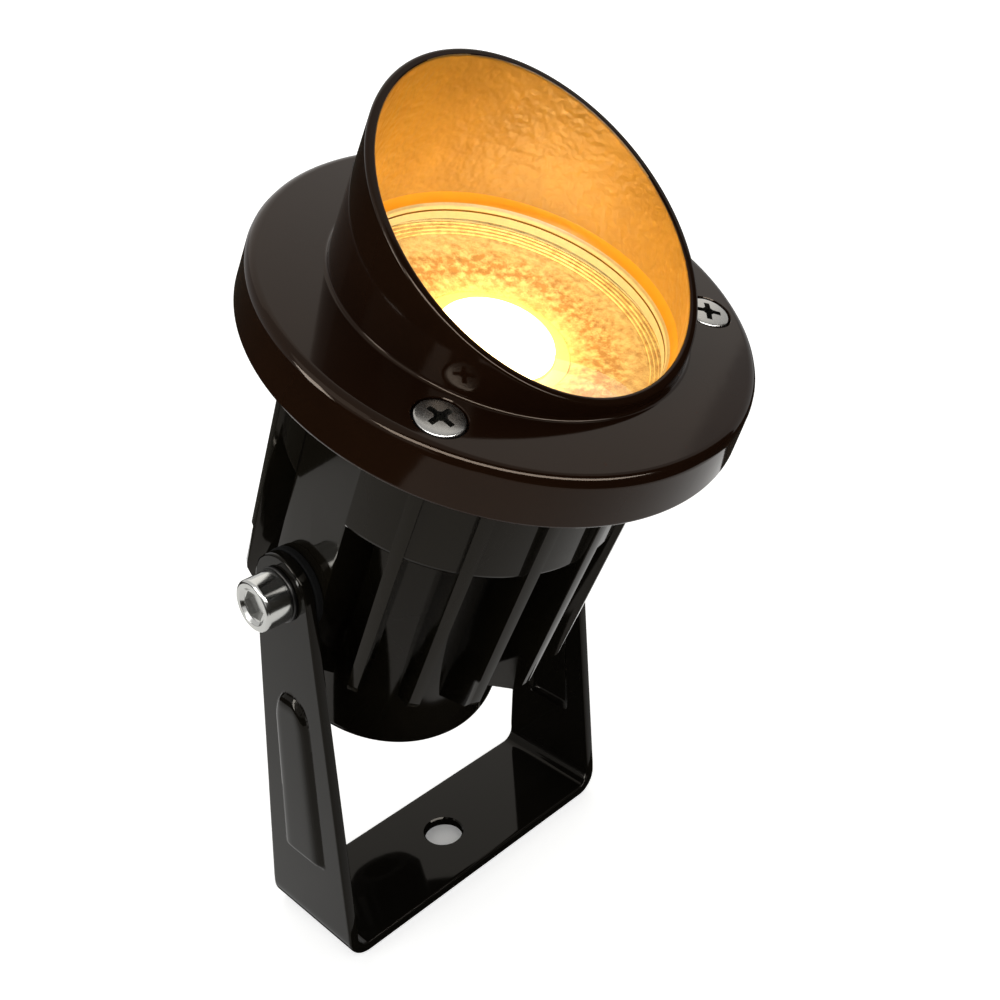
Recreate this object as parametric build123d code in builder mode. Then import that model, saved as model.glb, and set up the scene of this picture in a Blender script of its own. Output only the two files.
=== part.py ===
"""Outdoor spotlight: a cast head with a slanted glare hood, tilting between the arms of a U bracket.

Millimetres, +Z up. The origin is the centre of the base hole on the underside of the bracket.
The pivot runs along X, and the beam leans towards -Y. Heights in the head are counted from the
pivot along the beam.
"""
from build123d import *
import os
from math import acos, atan2, cos, hypot, radians, sin, tan

# Head, from the hood outwards
tilt = 24.2
pivot_height = 74.0
hood_radius = 29.7
hood_wall = 1.6
hood_draft = 3.2
rim_height = 15.1
rim_angle = 24.0
hood_foot_round = 0.6
rim_round = 0.4
lip_width = 1.1
lip_bevel = 1.2
lip_drop = 1.1
flange_top = 54.7
flange_height = 9.2
flange_lean = 0.6
flange_round = 1.6
flange_plate = 4.2
skirt_wall = 2.9
skirt_gap = 0.3
seam = 0.2

# Glass and its channel gasket
glass_overlap = 3.6
glass_thickness = 3.0
gasket_wall = 0.8
gasket_grip = 2.15
seat_gap = 0.05

# Bezel screws
bezel_screw_angles = (-150, -30, 90)
screw_margin = 3.95
flange_margin = 7.1
bezel_screw_radius = 2.0
bezel_head_radius = 3.75
bezel_head_height = 2.3
recess_gap = 0.6
recess_depth = 2.2
screw_edge = 0.5
cross_depth = 1.3
cross_span = 1.1
cross_width = 0.28
cross_taper = 8.0
shank_gap = 0.25
thread_gap = 0.05

# Housing
housing_flange = 4.1
o_ring_thickness = 1.6
o_ring_groove_width = 1.8
o_ring_groove_depth = 1.5
collar_wall = 4.26
collar_bottom = 20.9
collar_round = 1.2
neck_height = 4.6
neck_wall = 4.5
collar_step = 8.36
core_wall = 2.6
core_bottom = -38.0
core_round = 2.2
end_wall = 3.6

# Cooling fins
fin_pitch = 20.0
fin_count_side = 7
fin_proud = 1.44
fin_lean = 0.8
fin_top_thickness = 2.5
fin_tip_thickness = 1.7
fin_tip = -11.8
fin_corner = 2.4
fin_foot_rise = 1.2
fin_slope = 44.0
fin_edge = 0.5

# Pivot pads, bolts and washers
pad_inset = 0.96
pad_half_width = 6.6
side_gap = 0.05
friction_radius = 7.4
friction_thickness = 1.4
bolt_radius = 2.5
bolt_length = 12.0
bolt_head_radius = 4.7
bolt_head_height = 5.0
bolt_head_round = 0.6
bolt_socket_flats = 4.8
bolt_socket_depth = 2.6
bolt_washer_radius = 5.0
bolt_washer_thickness = 0.7
pivot_clearance = 0.08
thread_depth_spare = 0.5

# Bracket
bracket_plate = 2.0
base_depth = 23.5
bend_radius = 4.5
taper_start = 6.0
arm_top_radius = 7.2
bracket_edge = 0.35
base_hole_radius = 3.9
rib_bottom = 18.0
rib_top = 53.7
rib_foot_half_width = 5.7
rib_top_radius = 4.2
rib_rise = 1.05
rib_draft = 38.0
rib_corner = 1.5

# Light source
reflector_rim = 0.9
reflector_rim_width = 2.7
reflector_gap = 0.1
reflector_depth = 3.6
dish_width = 14.0
reflector_dish = 0.55
reflector_foot = 0.9
reflector_skin = 0.65
emitter_gap = 0.6
emitter_base = 1.4
emitter_rim = 1.9
emitter_glow_height = 0.8
led_board_margin = 4.7
led_board_thickness = 1.6
led_board_drop = 1.8
led_screw_margin = 2.2
led_screw_radius = 1.25
led_screw_head_radius = 1.9
led_screw_head_height = 0.9
led_screw_length = 5.0
pad_margin = 2.1
pad_thickness = 0.3
led_plate_thickness = 4.0
led_plate_gap = 0.1
plate_screw_angles = (30, 150, 270)
plate_screw_radius = 1.5
plate_screw_head_radius = 2.75
plate_screw_head_height = 1.8
plate_screw_length = 9.0

# Driver
cup_gap = 0.15
cup_wall = 1.1
cup_floor = 1.2
cup_height = 47.0
cup_window_radius = 6.6
guide_depth = 2.4
guide_width = 1.0
board_thickness = 1.6
board_height = 40.0
board_gap = 0.1
transformer_width = 15.0
transformer_depth = 10.0
transformer_height = 13.0
transformer_place = (4.0, 0.0)
winding_width = 9.0
winding_proud = 1.5
capacitor_radius = 3.5
capacitor_length = 10.0
capacitor_inset = 7.0
capacitor_heights = (9.0, -8.0)
terminal_width = 10.0
terminal_depth = 8.0
terminal_height = 8.0
terminal_place = (0.0, -13.0)
terminal_screw_radius = 1.4
terminal_screw_depth = 1.2
lead_radius = 0.6
lead_spread = 5.0
lead_hole_radius = 1.2
lead_inset = 1.7
lead_end_length = 3.0
lead_start = 4.0
lead_turn_low = 19.0
lead_turn_high = 29.0
lead_bend = 4.0
lead_end_bend = 1.2

# Cord gland
gland_thread_radius = 6.0
gland_bore_radius = 4.2
gland_washer_radius = 8.2
gland_washer_thickness = 1.0
gland_flats = 16.0
gland_hex_height = 4.0
gland_neck_height = 7.0
gland_seal_wall = 1.9
gland_seal_length = 6.0
gland_seal_radius = 5.0
gland_seal_proud = 0.8
gland_nut_radius = 8.6
gland_nut_end = 3.2
gland_nut_round = 2.0
gland_nut_gap = 0.4
gland_nut_grooves = 12
gland_groove_radius = 0.9

# Radii that follow from the sizes above
hood_inner = hood_radius - hood_wall
lip_radius = hood_inner - lip_width
glass_radius = lip_radius + glass_overlap
gasket_radius = glass_radius + gasket_wall
gasket_seat_radius = gasket_radius + seat_gap
gasket_inner = glass_radius - gasket_grip
screw_circle = gasket_seat_radius + screw_margin
flange_radius = screw_circle + flange_margin
skirt_inner = flange_radius - skirt_wall
housing_flange_radius = skirt_inner - skirt_gap
led_bore = lip_radius
collar_radius = led_bore + collar_wall
fin_radius = collar_radius + fin_proud
neck_radius = gasket_seat_radius + neck_wall
core_radius = collar_radius - collar_step
driver_bore = core_radius - core_wall
pad_reach = collar_radius - pad_inset
lead_out = driver_bore - lead_inset
cup_radius = driver_bore - cup_gap
cup_inner = cup_radius - cup_wall
reflector_inner = lip_radius - reflector_rim_width / 2
reflector_outer = reflector_inner + reflector_rim_width
reflector_seat_radius = reflector_outer + seat_gap
reflector_mouth_radius = lip_radius - dish_width
foot_radius = reflector_mouth_radius + reflector_foot
emitter_radius = reflector_mouth_radius - emitter_gap
emitter_glow_radius = emitter_radius - emitter_rim
led_board_radius = foot_radius + led_board_margin
led_screw_circle = foot_radius + led_screw_margin
pad_radius = led_screw_circle - pad_margin

# Heights above the pivot that follow
flange_bottom = flange_top - flange_height
plate_under = flange_top - flange_plate
lip_top = flange_top - lip_drop
housing_top = plate_under - seam
housing_under = housing_top - housing_flange
glass_top = plate_under - gasket_wall
glass_bottom = glass_top - glass_thickness
gasket_bottom = glass_bottom - gasket_wall
reflector_top = glass_bottom - reflector_gap
reflector_seat = reflector_top - reflector_rim
reflector_low = reflector_top - reflector_depth
led_board_top = reflector_low - led_board_drop
led_board_bottom = led_board_top - led_board_thickness
led_plate_top = led_board_bottom - pad_thickness
led_plate_bottom = led_plate_top - led_plate_thickness
cavity_floor = core_bottom + end_wall
board_bottom = cavity_floor + cup_floor
board_top = board_bottom + board_height
board_middle = (board_bottom + board_top) / 2
o_ring_floor = housing_flange_radius - o_ring_groove_depth
o_ring_middle = o_ring_floor + o_ring_thickness / 2 + thread_gap
o_ring_low = housing_under + (housing_flange - o_ring_groove_width) / 2
gland_washer_low = core_bottom - gland_washer_thickness
gland_hex_low = gland_washer_low - gland_hex_height
gland_neck_low = gland_hex_low - gland_neck_height
gland_nut_low = gland_neck_low - gland_nut_end

# Places across the pivot
arm_inner = pad_reach + friction_thickness + side_gap
arm_outer = arm_inner + bracket_plate
bolt_washer_start = arm_outer + side_gap
bolt_head_start = bolt_washer_start + bolt_washer_thickness
bolt_tip = bolt_head_start - bolt_length

# Planes and axes of the head
lean = radians(tilt)
pivot = Vector(0, 0, pivot_height)
beam_direction = Vector(0, -sin(lean), cos(lean))
head = Plane(origin=pivot, x_dir=(1, 0, 0), z_dir=beam_direction)
section = Plane(origin=pivot, x_dir=(1, 0, 0), z_dir=(0, -cos(lean), -sin(lean)))
beam = Axis(pivot, beam_direction)
rim_point = head.from_local_coords(Vector(0, 0, flange_top + rim_height))
rim_normal = head.from_local_coords(Vector(0, -sin(radians(rim_angle)), cos(radians(rim_angle)))) - pivot
rim_plane = Plane(origin=rim_point, x_dir=(1, 0, 0), z_dir=rim_normal)


def on_circle(radius, angles):
    """Spots on a circle round the beam, as (x, y) in the head."""
    return [(radius * cos(radians(a)), radius * sin(radians(a))) for a in angles]


def turned(points, mode=Mode.ADD):
    """Turn an outline of (radius, height) points round the beam."""
    with BuildSketch(section) as outline:
        with BuildLine():
            Polyline(*points, close=True)
        make_face()
    revolve(outline.sketch, axis=beam, mode=mode)


def ring(inner, outer, low, high, mode=Mode.ADD):
    """Plain ring round the beam between two heights."""
    with BuildSketch(head.offset(low)) as face:
        Circle(outer)
        Circle(inner, mode=Mode.SUBTRACT)
    extrude(face.sketch, amount=high - low, mode=mode)


def posts(radius, low, high, spots, mode=Mode.ADD):
    """Round posts or holes along the beam between two heights."""
    with BuildSketch(head.offset(low)) as discs:
        with Locations(*spots):
            Circle(radius)
    extrude(discs.sketch, amount=high - low, mode=mode)


def across(radius, start, end, mode=Mode.ADD):
    """Round posts or holes along the pivot, one on each side, between two distances from the middle."""
    for side in (1, -1):
        with BuildSketch(Plane(origin=(side * start, 0, pivot_height), z_dir=(side, 0, 0))) as disc:
            Circle(radius)
        extrude(disc.sketch, amount=end - start, mode=mode)


def cross_recess(radius, top, depth, spots):
    """Cross-shaped driver recess in the heads of screws along the beam."""
    with BuildSketch(head.offset(top)) as cross:
        with Locations(*spots):
            Rectangle(radius * cross_span, radius * cross_width)
            Rectangle(radius * cross_width, radius * cross_span)
    extrude(cross.sketch, amount=-depth, taper=cross_taper, mode=Mode.SUBTRACT)


def on_board(width, height, place, start, depth, side, mode=Mode.ADD):
    """Block on one side of the upright driver board, at (x, height) from the board's middle."""
    level = head.from_local_coords(Vector(place[0], side * start, board_middle + place[1]))
    with BuildSketch(Plane(origin=level, x_dir=(1, 0, 0), z_dir=section.z_dir * -side)) as face:
        Rectangle(width, height)
    extrude(face.sketch, amount=depth, mode=mode)


bezel_screw_spots = on_circle(screw_circle, bezel_screw_angles)
plate_screw_spots = on_circle((driver_bore + led_bore) / 2, plate_screw_angles)
led_screw_spots = on_circle(led_screw_circle, (0, 180))
lead_spots = [(-lead_spread, lead_out), (lead_spread, lead_out)]


# Bracket: a bent U, its arms tapering to a round end about the pivot
taper_reach = hypot(base_depth / 2, pivot_height - taper_start)
taper_angle = atan2(taper_start - pivot_height, base_depth / 2) + acos(arm_top_radius / taper_reach)
taper_end = (arm_top_radius * cos(taper_angle), pivot_height + arm_top_radius * sin(taper_angle))

with BuildPart() as mounting_bracket:
    with BuildSketch(Plane.XZ):
        Rectangle(2 * arm_outer, pivot_height + arm_top_radius, align=(Align.CENTER, Align.MIN))
        fillet(vertices().group_by(Axis.Y)[0], radius=bend_radius)
        with BuildSketch(mode=Mode.PRIVATE) as gap:
            with Locations((0, bracket_plate)):
                Rectangle(2 * arm_inner, pivot_height + arm_top_radius, align=(Align.CENTER, Align.MIN))
            fillet(gap.vertices().group_by(Axis.Y)[0], radius=bend_radius - bracket_plate)
        add(gap.sketch, mode=Mode.SUBTRACT)
    extrude(amount=base_depth / 2, both=True)
    with BuildSketch(Plane.YZ):
        with BuildLine():
            Polyline(
                (-taper_end[0], taper_end[1]),
                (-base_depth / 2, taper_start),
                (-base_depth / 2, 0),
                (base_depth / 2, 0),
                (base_depth / 2, taper_start),
                taper_end,
            )
            ThreePointArc(taper_end, (0, pivot_height + arm_top_radius), (-taper_end[0], taper_end[1]))
        make_face()
    extrude(amount=arm_outer + bracket_plate, both=True, mode=Mode.INTERSECT)
    fillet(edges().filter_by(Axis.Y, reverse=True), radius=bracket_edge)
    for side in (1, -1):
        for face_at, rib_mode in ((arm_outer, Mode.ADD), (arm_inner, Mode.SUBTRACT)):
            with BuildSketch(Plane(origin=(side * face_at, 0, 0), x_dir=(0, side, 0), z_dir=(side, 0, 0))):
                with BuildLine():
                    Polyline(
                        (-rib_top_radius, rib_top - rib_top_radius),
                        (-rib_foot_half_width, rib_bottom),
                        (rib_foot_half_width, rib_bottom),
                        (rib_top_radius, rib_top - rib_top_radius),
                    )
                    ThreePointArc((rib_top_radius, rib_top - rib_top_radius), (0, rib_top),
                                  (-rib_top_radius, rib_top - rib_top_radius))
                make_face()
                fillet(vertices().group_by(Axis.Y)[0], radius=rib_corner)
            extrude(amount=rib_rise, taper=rib_draft, mode=rib_mode)
    with Locations((0, 0, bracket_plate)):
        Hole(base_hole_radius, depth=bracket_plate)
    across(bolt_radius + pivot_clearance, arm_inner, arm_outer, Mode.SUBTRACT)


# Bezel: the hood tube cut by the slanted rim plane, on a flange with a skirt and a lip over the glass
hood_tall = flange_top + rim_height + (hood_radius + hood_wall) * tan(radians(rim_angle))
hood_taper = tan(radians(hood_draft))
hood_narrow = (hood_tall - lip_top) * hood_taper


def is_hood_foot(edge):
    """True for the circle where the hood stands on the flange."""
    if edge.geom_type != GeomType.CIRCLE:
        return False
    level = head.to_local_coords(edge.arc_center).Z
    return abs(level - flange_top) < seam and abs(edge.radius - hood_radius) < seam


with BuildPart() as front_bezel:
    turned([
        (hood_inner, lip_top),
        (hood_radius, lip_top),
        (hood_radius, flange_top),
        (hood_radius - hood_narrow, hood_tall),
        (hood_inner - hood_narrow, hood_tall),
        (hood_inner, flange_top),
    ])
    split(bisect_by=rim_plane, keep=Keep.BOTTOM)
    rim_edges = edges().filter_by(lambda edge: abs(rim_plane.to_local_coords(edge.center()).Z) < rim_round)
    fillet(rim_edges, radius=rim_round)
    with BuildSketch(section):
        with BuildLine():
            Polyline(
                (skirt_inner, flange_bottom),
                (flange_radius, flange_bottom),
                (flange_radius - flange_lean, flange_top),
                (hood_inner, flange_top),
                (hood_inner, lip_top),
                (lip_radius, lip_top - lip_bevel),
                (lip_radius, plate_under),
                (skirt_inner, plate_under),
                close=True,
            )
        make_face()
        fillet(vertices().group_by(Axis.Y)[-1].sort_by(Axis.X)[-1], radius=flange_round)
    revolve(axis=beam)
    fillet(edges().filter_by(is_hood_foot), radius=hood_foot_round)
    posts(bezel_head_radius + recess_gap, flange_top - recess_depth, flange_top + seam, bezel_screw_spots,
          Mode.SUBTRACT)
    posts(bezel_screw_radius + shank_gap, plate_under - seam, flange_top, bezel_screw_spots, Mode.SUBTRACT)


# Housing: core, collar and flange turned in one outline, with fins, pivot pads and stepped bores
fin_angles = [90 + (index - (fin_count_side - 1) / 2) * fin_pitch for index in range(fin_count_side)]
fin_root = driver_bore + core_wall / 2
fin_low = fin_tip - fin_corner - (fin_radius - fin_root) * tan(radians(fin_slope))
fin_outer_low = fin_radius - fin_lean
fin_slope_start = fin_tip - fin_corner


def is_fin_edge(edge):
    """True for the long outer edges of the fins, below the neck of the flange."""
    middle = head.to_local_coords(edge.center())
    return (hypot(middle.X, middle.Y) > collar_radius + fin_edge and edge.length > fin_radius
            and middle.Z < collar_bottom)


with BuildPart() as heat_sink:
    with BuildSketch(section):
        with BuildLine():
            Polyline(
                (0, core_bottom),
                (core_radius, core_bottom),
                (core_radius, collar_bottom),
                (collar_radius, collar_bottom),
                (collar_radius, housing_under - neck_height),
                (neck_radius, housing_under),
                (housing_flange_radius, housing_under),
                (housing_flange_radius, housing_top),
                (0, housing_top),
                close=True,
            )
        make_face()
        fillet(vertices().group_by(Axis.Y)[0].sort_by(Axis.X)[-1], radius=core_round)
        fillet(vertices().filter_by(lambda v: abs(v.Y - collar_bottom) < seam).sort_by(Axis.X)[-1],
               radius=collar_round)
    revolve(axis=beam)
    for angle in fin_angles + [-a for a in fin_angles]:
        out = head.from_local_coords(Vector(cos(radians(angle)), sin(radians(angle)), 0)) - pivot
        along = beam_direction.cross(out)
        with BuildSketch(Plane(origin=pivot + out * fin_root, x_dir=along, z_dir=out)):
            with BuildLine():
                Polyline(
                    (-fin_top_thickness / 2, housing_under),
                    (-fin_tip_thickness / 2, fin_low),
                    (fin_tip_thickness / 2, fin_low),
                    (fin_top_thickness / 2, housing_under),
                    close=True,
                )
            make_face()
        extrude(amount=fin_radius - fin_root)
    for side in (1, -1):
        with BuildSketch(Plane(origin=pivot + Vector(side * fin_root, 0, 0), x_dir=head.y_dir * side,
                               z_dir=(side, 0, 0))):
            with Locations((0, (housing_under + fin_low) / 2)):
                Rectangle(2 * pad_half_width, housing_under - fin_low)
        extrude(amount=pad_reach - fin_root)
    with BuildSketch(section):
        with BuildLine():
            Polyline(
                (fin_radius, housing_under - neck_height),
                (fin_outer_low, fin_tip),
                (fin_outer_low - fin_foot_rise, fin_slope_start),
                (core_radius, fin_slope_start - (fin_outer_low - fin_foot_rise - core_radius)
                 * tan(radians(fin_slope))),
                (core_radius, fin_low - fin_corner),
                (fin_radius + fin_corner, fin_low - fin_corner),
                (fin_radius + fin_corner, housing_under - neck_height),
                close=True,
            )
        make_face()
    revolve(axis=beam, mode=Mode.SUBTRACT)
    for side in (1, -1):
        with BuildSketch(Plane(origin=pivot + Vector(side * pad_reach, 0, 0), x_dir=head.y_dir * side,
                               z_dir=(side, 0, 0))):
            with Locations((0, (housing_under - neck_height + fin_low) / 2)):
                Rectangle(2 * pad_half_width, housing_under - neck_height - fin_low)
        extrude(amount=fin_radius - pad_reach, mode=Mode.SUBTRACT)
    fillet(edges().filter_by(is_fin_edge), radius=fin_edge)
    turned([
        (0, cavity_floor),
        (driver_bore, cavity_floor),
        (driver_bore, led_plate_bottom),
        (led_bore, led_plate_bottom),
        (led_bore, reflector_seat),
        (reflector_seat_radius, reflector_seat),
        (reflector_seat_radius, gasket_bottom),
        (gasket_seat_radius, gasket_bottom),
        (gasket_seat_radius, housing_top + seam),
        (0, housing_top + seam),
    ], Mode.SUBTRACT)
    posts(bezel_screw_radius + thread_gap, housing_under - seam, housing_top + seam, bezel_screw_spots,
          Mode.SUBTRACT)
    posts(plate_screw_radius + thread_gap, led_plate_top - plate_screw_length - thread_depth_spare,
          led_plate_bottom, plate_screw_spots, Mode.SUBTRACT)
    posts(gland_thread_radius + thread_gap, core_bottom - seam, cavity_floor + seam, [(0, 0)], Mode.SUBTRACT)
    across(bolt_radius + thread_gap, bolt_tip - thread_depth_spare, pad_reach + seam, Mode.SUBTRACT)
    ring(o_ring_floor, housing_flange_radius + seam, o_ring_low, o_ring_low + o_ring_groove_width,
         Mode.SUBTRACT)


# Glass, its channel gasket and the ring seal of the flange
with BuildPart() as lens_glass:
    posts(glass_radius, glass_bottom, glass_top, [(0, 0)])

with BuildPart() as glass_gasket:
    turned([
        (gasket_inner, gasket_bottom),
        (gasket_radius, gasket_bottom),
        (gasket_radius, plate_under),
        (gasket_inner, plate_under),
        (gasket_inner, glass_top),
        (glass_radius, glass_top),
        (glass_radius, glass_bottom),
        (gasket_inner, glass_bottom),
    ])

with BuildPart() as bezel_o_ring:
    with BuildSketch(section):
        with Locations((o_ring_middle, o_ring_low + o_ring_groove_width / 2)):
            Circle(o_ring_thickness / 2)
    revolve(axis=beam)

with BuildPart() as bezel_screws:
    head_low = flange_top - recess_depth
    head_high = head_low + bezel_head_height
    posts(bezel_head_radius, head_low, head_high, bezel_screw_spots)
    chamfer(edges().filter_by(GeomType.CIRCLE).group_by(beam)[-1], length=screw_edge)
    posts(bezel_screw_radius, housing_under + seam, head_low, bezel_screw_spots)
    cross_recess(bezel_head_radius, head_high, cross_depth, bezel_screw_spots)


# Reflector: a shallow dish from the rim under the glass down to a foot on the board
dish_middle = (reflector_mouth_radius + reflector_inner) / 2
dish_sag = reflector_low + reflector_depth / 2 - reflector_dish

with BuildPart() as reflector:
    with BuildSketch(section):
        with BuildLine():
            Polyline(
                (foot_radius, reflector_low - reflector_skin),
                (foot_radius, led_board_top),
                (reflector_mouth_radius, led_board_top),
                (reflector_mouth_radius, reflector_low),
            )
            ThreePointArc((reflector_mouth_radius, reflector_low), (dish_middle, dish_sag),
                          (reflector_inner, reflector_top))
            Polyline(
                (reflector_inner, reflector_top),
                (reflector_outer, reflector_top),
                (reflector_outer, reflector_seat),
                (reflector_inner + reflector_skin, reflector_seat),
            )
            ThreePointArc((reflector_inner + reflector_skin, reflector_seat),
                          (dish_middle + reflector_skin / 2, dish_sag - reflector_rim),
                          (foot_radius, reflector_low - reflector_skin))
        make_face()
    revolve(axis=beam)


# Light source on its board, pad and plate
emitter_step = led_board_top + emitter_base
emitter_top = emitter_step + emitter_glow_height

with BuildPart() as led_emitter:
    turned([
        (0, led_board_top),
        (emitter_radius, led_board_top),
        (emitter_radius, emitter_step),
        (emitter_glow_radius, emitter_step),
        (emitter_glow_radius - emitter_glow_height / 2, emitter_top),
        (0, emitter_top),
    ])

with BuildPart() as led_board:
    posts(led_board_radius, led_board_bottom, led_board_top, [(0, 0)])
    posts(led_screw_radius + shank_gap, led_board_bottom, led_board_top, led_screw_spots, Mode.SUBTRACT)
    posts(lead_hole_radius + shank_gap, led_board_bottom, led_board_top, lead_spots, Mode.SUBTRACT)

with BuildPart() as led_board_screws:
    head_high = led_board_top + led_screw_head_height
    posts(led_screw_head_radius, led_board_top, head_high, led_screw_spots)
    posts(led_screw_radius, led_board_top - led_screw_length, led_board_top, led_screw_spots)
    cross_recess(led_screw_head_radius, head_high, led_screw_head_height / 2, led_screw_spots)

with BuildPart() as thermal_pad:
    posts(pad_radius, led_plate_top, led_board_bottom, [(0, 0)])

with BuildPart() as led_plate:
    posts(led_bore - led_plate_gap, led_plate_bottom, led_plate_top, [(0, 0)])
    posts(plate_screw_radius + shank_gap, led_plate_bottom, led_plate_top, plate_screw_spots, Mode.SUBTRACT)
    posts(led_screw_radius + thread_gap, led_plate_bottom, led_plate_top, led_screw_spots, Mode.SUBTRACT)
    posts(lead_hole_radius, led_plate_bottom, led_plate_top, lead_spots, Mode.SUBTRACT)

with BuildPart() as led_plate_screws:
    head_high = led_plate_top + plate_screw_head_height
    posts(plate_screw_head_radius, led_plate_top, head_high, plate_screw_spots)
    posts(plate_screw_radius, led_plate_top - plate_screw_length, led_plate_top, plate_screw_spots)
    cross_recess(plate_screw_head_radius, head_high, plate_screw_head_height / 2, plate_screw_spots)


# Driver: a cup in the core with guides for an upright board
guide_start = board_thickness / 2 + board_gap
guide_middle = guide_start + guide_width / 2
guide_spots = [(x * (cup_inner - guide_depth / 2), y * guide_middle) for x in (1, -1) for y in (1, -1)]
board_half_width = cup_inner - guide_depth / 4

with BuildPart() as driver_cup:
    posts(cup_radius, cavity_floor, cavity_floor + cup_height, [(0, 0)])
    posts(cup_inner, board_bottom, cavity_floor + cup_height, [(0, 0)], Mode.SUBTRACT)
    posts(cup_window_radius, cavity_floor, board_bottom, [(0, 0)], Mode.SUBTRACT)
    with BuildSketch(head.offset(board_bottom)):
        with Locations(*guide_spots):
            Rectangle(guide_depth, guide_width)
    extrude(amount=board_height)

with BuildPart() as driver_board:
    with BuildSketch(section):
        with Locations((0, board_middle)):
            Rectangle(2 * board_half_width, board_height)
    extrude(amount=board_thickness / 2, both=True)

with BuildPart() as driver_transformer:
    on_board(transformer_width, transformer_height, transformer_place, board_thickness / 2,
             transformer_depth, 1)
    on_board(winding_width, transformer_height + 2 * winding_proud, transformer_place,
             board_thickness / 2 + winding_proud, transformer_depth - 2 * winding_proud, 1)

with BuildPart() as driver_capacitors:
    with BuildSketch(section.offset(-board_thickness / 2)):
        with Locations(*[(capacitor_inset - board_half_width, board_middle + z) for z in capacitor_heights]):
            Circle(capacitor_radius)
    extrude(amount=-capacitor_length)

with BuildPart() as driver_terminal_block:
    on_board(terminal_width, terminal_height, terminal_place, board_thickness / 2, terminal_depth, -1)
    with BuildSketch(section.offset(board_thickness / 2 + terminal_depth)):
        with Locations(*[(x * terminal_width / 4, board_middle + terminal_place[1]) for x in (1, -1)]):
            Circle(terminal_screw_radius)
    extrude(amount=-terminal_screw_depth, mode=Mode.SUBTRACT)

lead_inside = board_thickness / 2 + lead_radius + seat_gap
lead_end = led_board_top + lead_radius + seat_gap
lead_route = (
    (lead_inside, lead_start),
    (lead_inside, lead_turn_low),
    (lead_out, lead_turn_high),
    (lead_out, lead_end),
    (lead_out - lead_end_length, lead_end),
)

with BuildPart() as led_leads:
    for x, _ in lead_spots:
        with BuildLine() as route:
            FilletPolyline(*[head.from_local_coords(Vector(x, y, z)) for y, z in lead_route],
                           radius=[lead_bend, lead_bend, lead_end_bend])
        with BuildSketch(Plane(origin=route.line @ 0, z_dir=route.line % 0)):
            Circle(lead_radius)
        sweep(path=route.line)


# Cord gland at the back of the core, counted down from the core
seal_low = gland_neck_low - gland_seal_proud
seal_high = seal_low + gland_seal_length
nut_high = gland_hex_low - gland_nut_gap

with BuildPart() as gland_washer:
    ring(gland_thread_radius + thread_gap, gland_washer_radius, gland_washer_low, core_bottom)

with BuildPart() as gland_body:
    posts(gland_thread_radius, gland_neck_low, cavity_floor, [(0, 0)])
    with BuildSketch(head.offset(gland_hex_low)):
        RegularPolygon(gland_flats / 2, 6, major_radius=False)
    extrude(amount=gland_hex_height)
    posts(gland_bore_radius, gland_neck_low, cavity_floor, [(0, 0)], Mode.SUBTRACT)
    posts(gland_seal_radius + seat_gap, gland_neck_low, seal_high, [(0, 0)], Mode.SUBTRACT)

with BuildPart() as gland_seal:
    ring(gland_seal_radius - gland_seal_wall, gland_seal_radius, seal_low, seal_high)

with BuildPart() as gland_nut:
    with BuildSketch(head.offset(gland_nut_low)):
        Circle(gland_nut_radius)
        with PolarLocations(gland_nut_radius, gland_nut_grooves):
            Circle(gland_groove_radius, mode=Mode.SUBTRACT)
    extrude(amount=nut_high - gland_nut_low)
    turned([
        (gland_nut_radius - gland_nut_round, gland_nut_low),
        (gland_nut_radius + gland_nut_round, gland_nut_low),
        (gland_nut_radius + gland_nut_round, gland_nut_low + 2 * gland_nut_round),
    ], Mode.SUBTRACT)
    posts(gland_thread_radius + shank_gap, seal_low, nut_high, [(0, 0)], Mode.SUBTRACT)
    posts(gland_bore_radius, gland_nut_low, seal_low, [(0, 0)], Mode.SUBTRACT)


# Pivot: bolts through the arms into the pads, with a washer on each face of the arm
with BuildPart() as friction_washers:
    across(friction_radius, pad_reach, pad_reach + friction_thickness)
    across(bolt_radius + pivot_clearance, pad_reach, pad_reach + friction_thickness, Mode.SUBTRACT)

with BuildPart() as bolt_washers:
    across(bolt_washer_radius, bolt_washer_start, bolt_head_start)
    across(bolt_radius + pivot_clearance, bolt_washer_start, bolt_head_start, Mode.SUBTRACT)

with BuildPart() as pivot_bolts:
    bolt_face = bolt_head_start + bolt_head_height
    across(bolt_head_radius, bolt_head_start, bolt_face)
    fillet(edges().filter_by(GeomType.CIRCLE).filter_by(lambda e: abs(abs(e.center().X) - bolt_face) < seam),
           radius=bolt_head_round)
    across(bolt_radius, bolt_tip, bolt_head_start)
    for side in (1, -1):
        with BuildSketch(Plane(origin=(side * bolt_face, 0, pivot_height), z_dir=(side, 0, 0))):
            RegularPolygon(bolt_socket_flats / 2, 6, major_radius=False)
        extrude(amount=-bolt_socket_depth, mode=Mode.SUBTRACT)


pieces = {
    "mounting_bracket": mounting_bracket,
    "front_bezel": front_bezel,
    "heat_sink": heat_sink,
    "lens_glass": lens_glass,
    "glass_gasket": glass_gasket,
    "bezel_o_ring": bezel_o_ring,
    "bezel_screws": bezel_screws,
    "reflector": reflector,
    "led_emitter": led_emitter,
    "led_board": led_board,
    "led_board_screws": led_board_screws,
    "thermal_pad": thermal_pad,
    "led_plate": led_plate,
    "led_plate_screws": led_plate_screws,
    "led_leads": led_leads,
    "driver_cup": driver_cup,
    "driver_board": driver_board,
    "driver_transformer": driver_transformer,
    "driver_capacitors": driver_capacitors,
    "driver_terminal_block": driver_terminal_block,
    "gland_washer": gland_washer,
    "gland_body": gland_body,
    "gland_seal": gland_seal,
    "gland_nut": gland_nut,
    "friction_washers": friction_washers,
    "bolt_washers": bolt_washers,
    "pivot_bolts": pivot_bolts,
}

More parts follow.
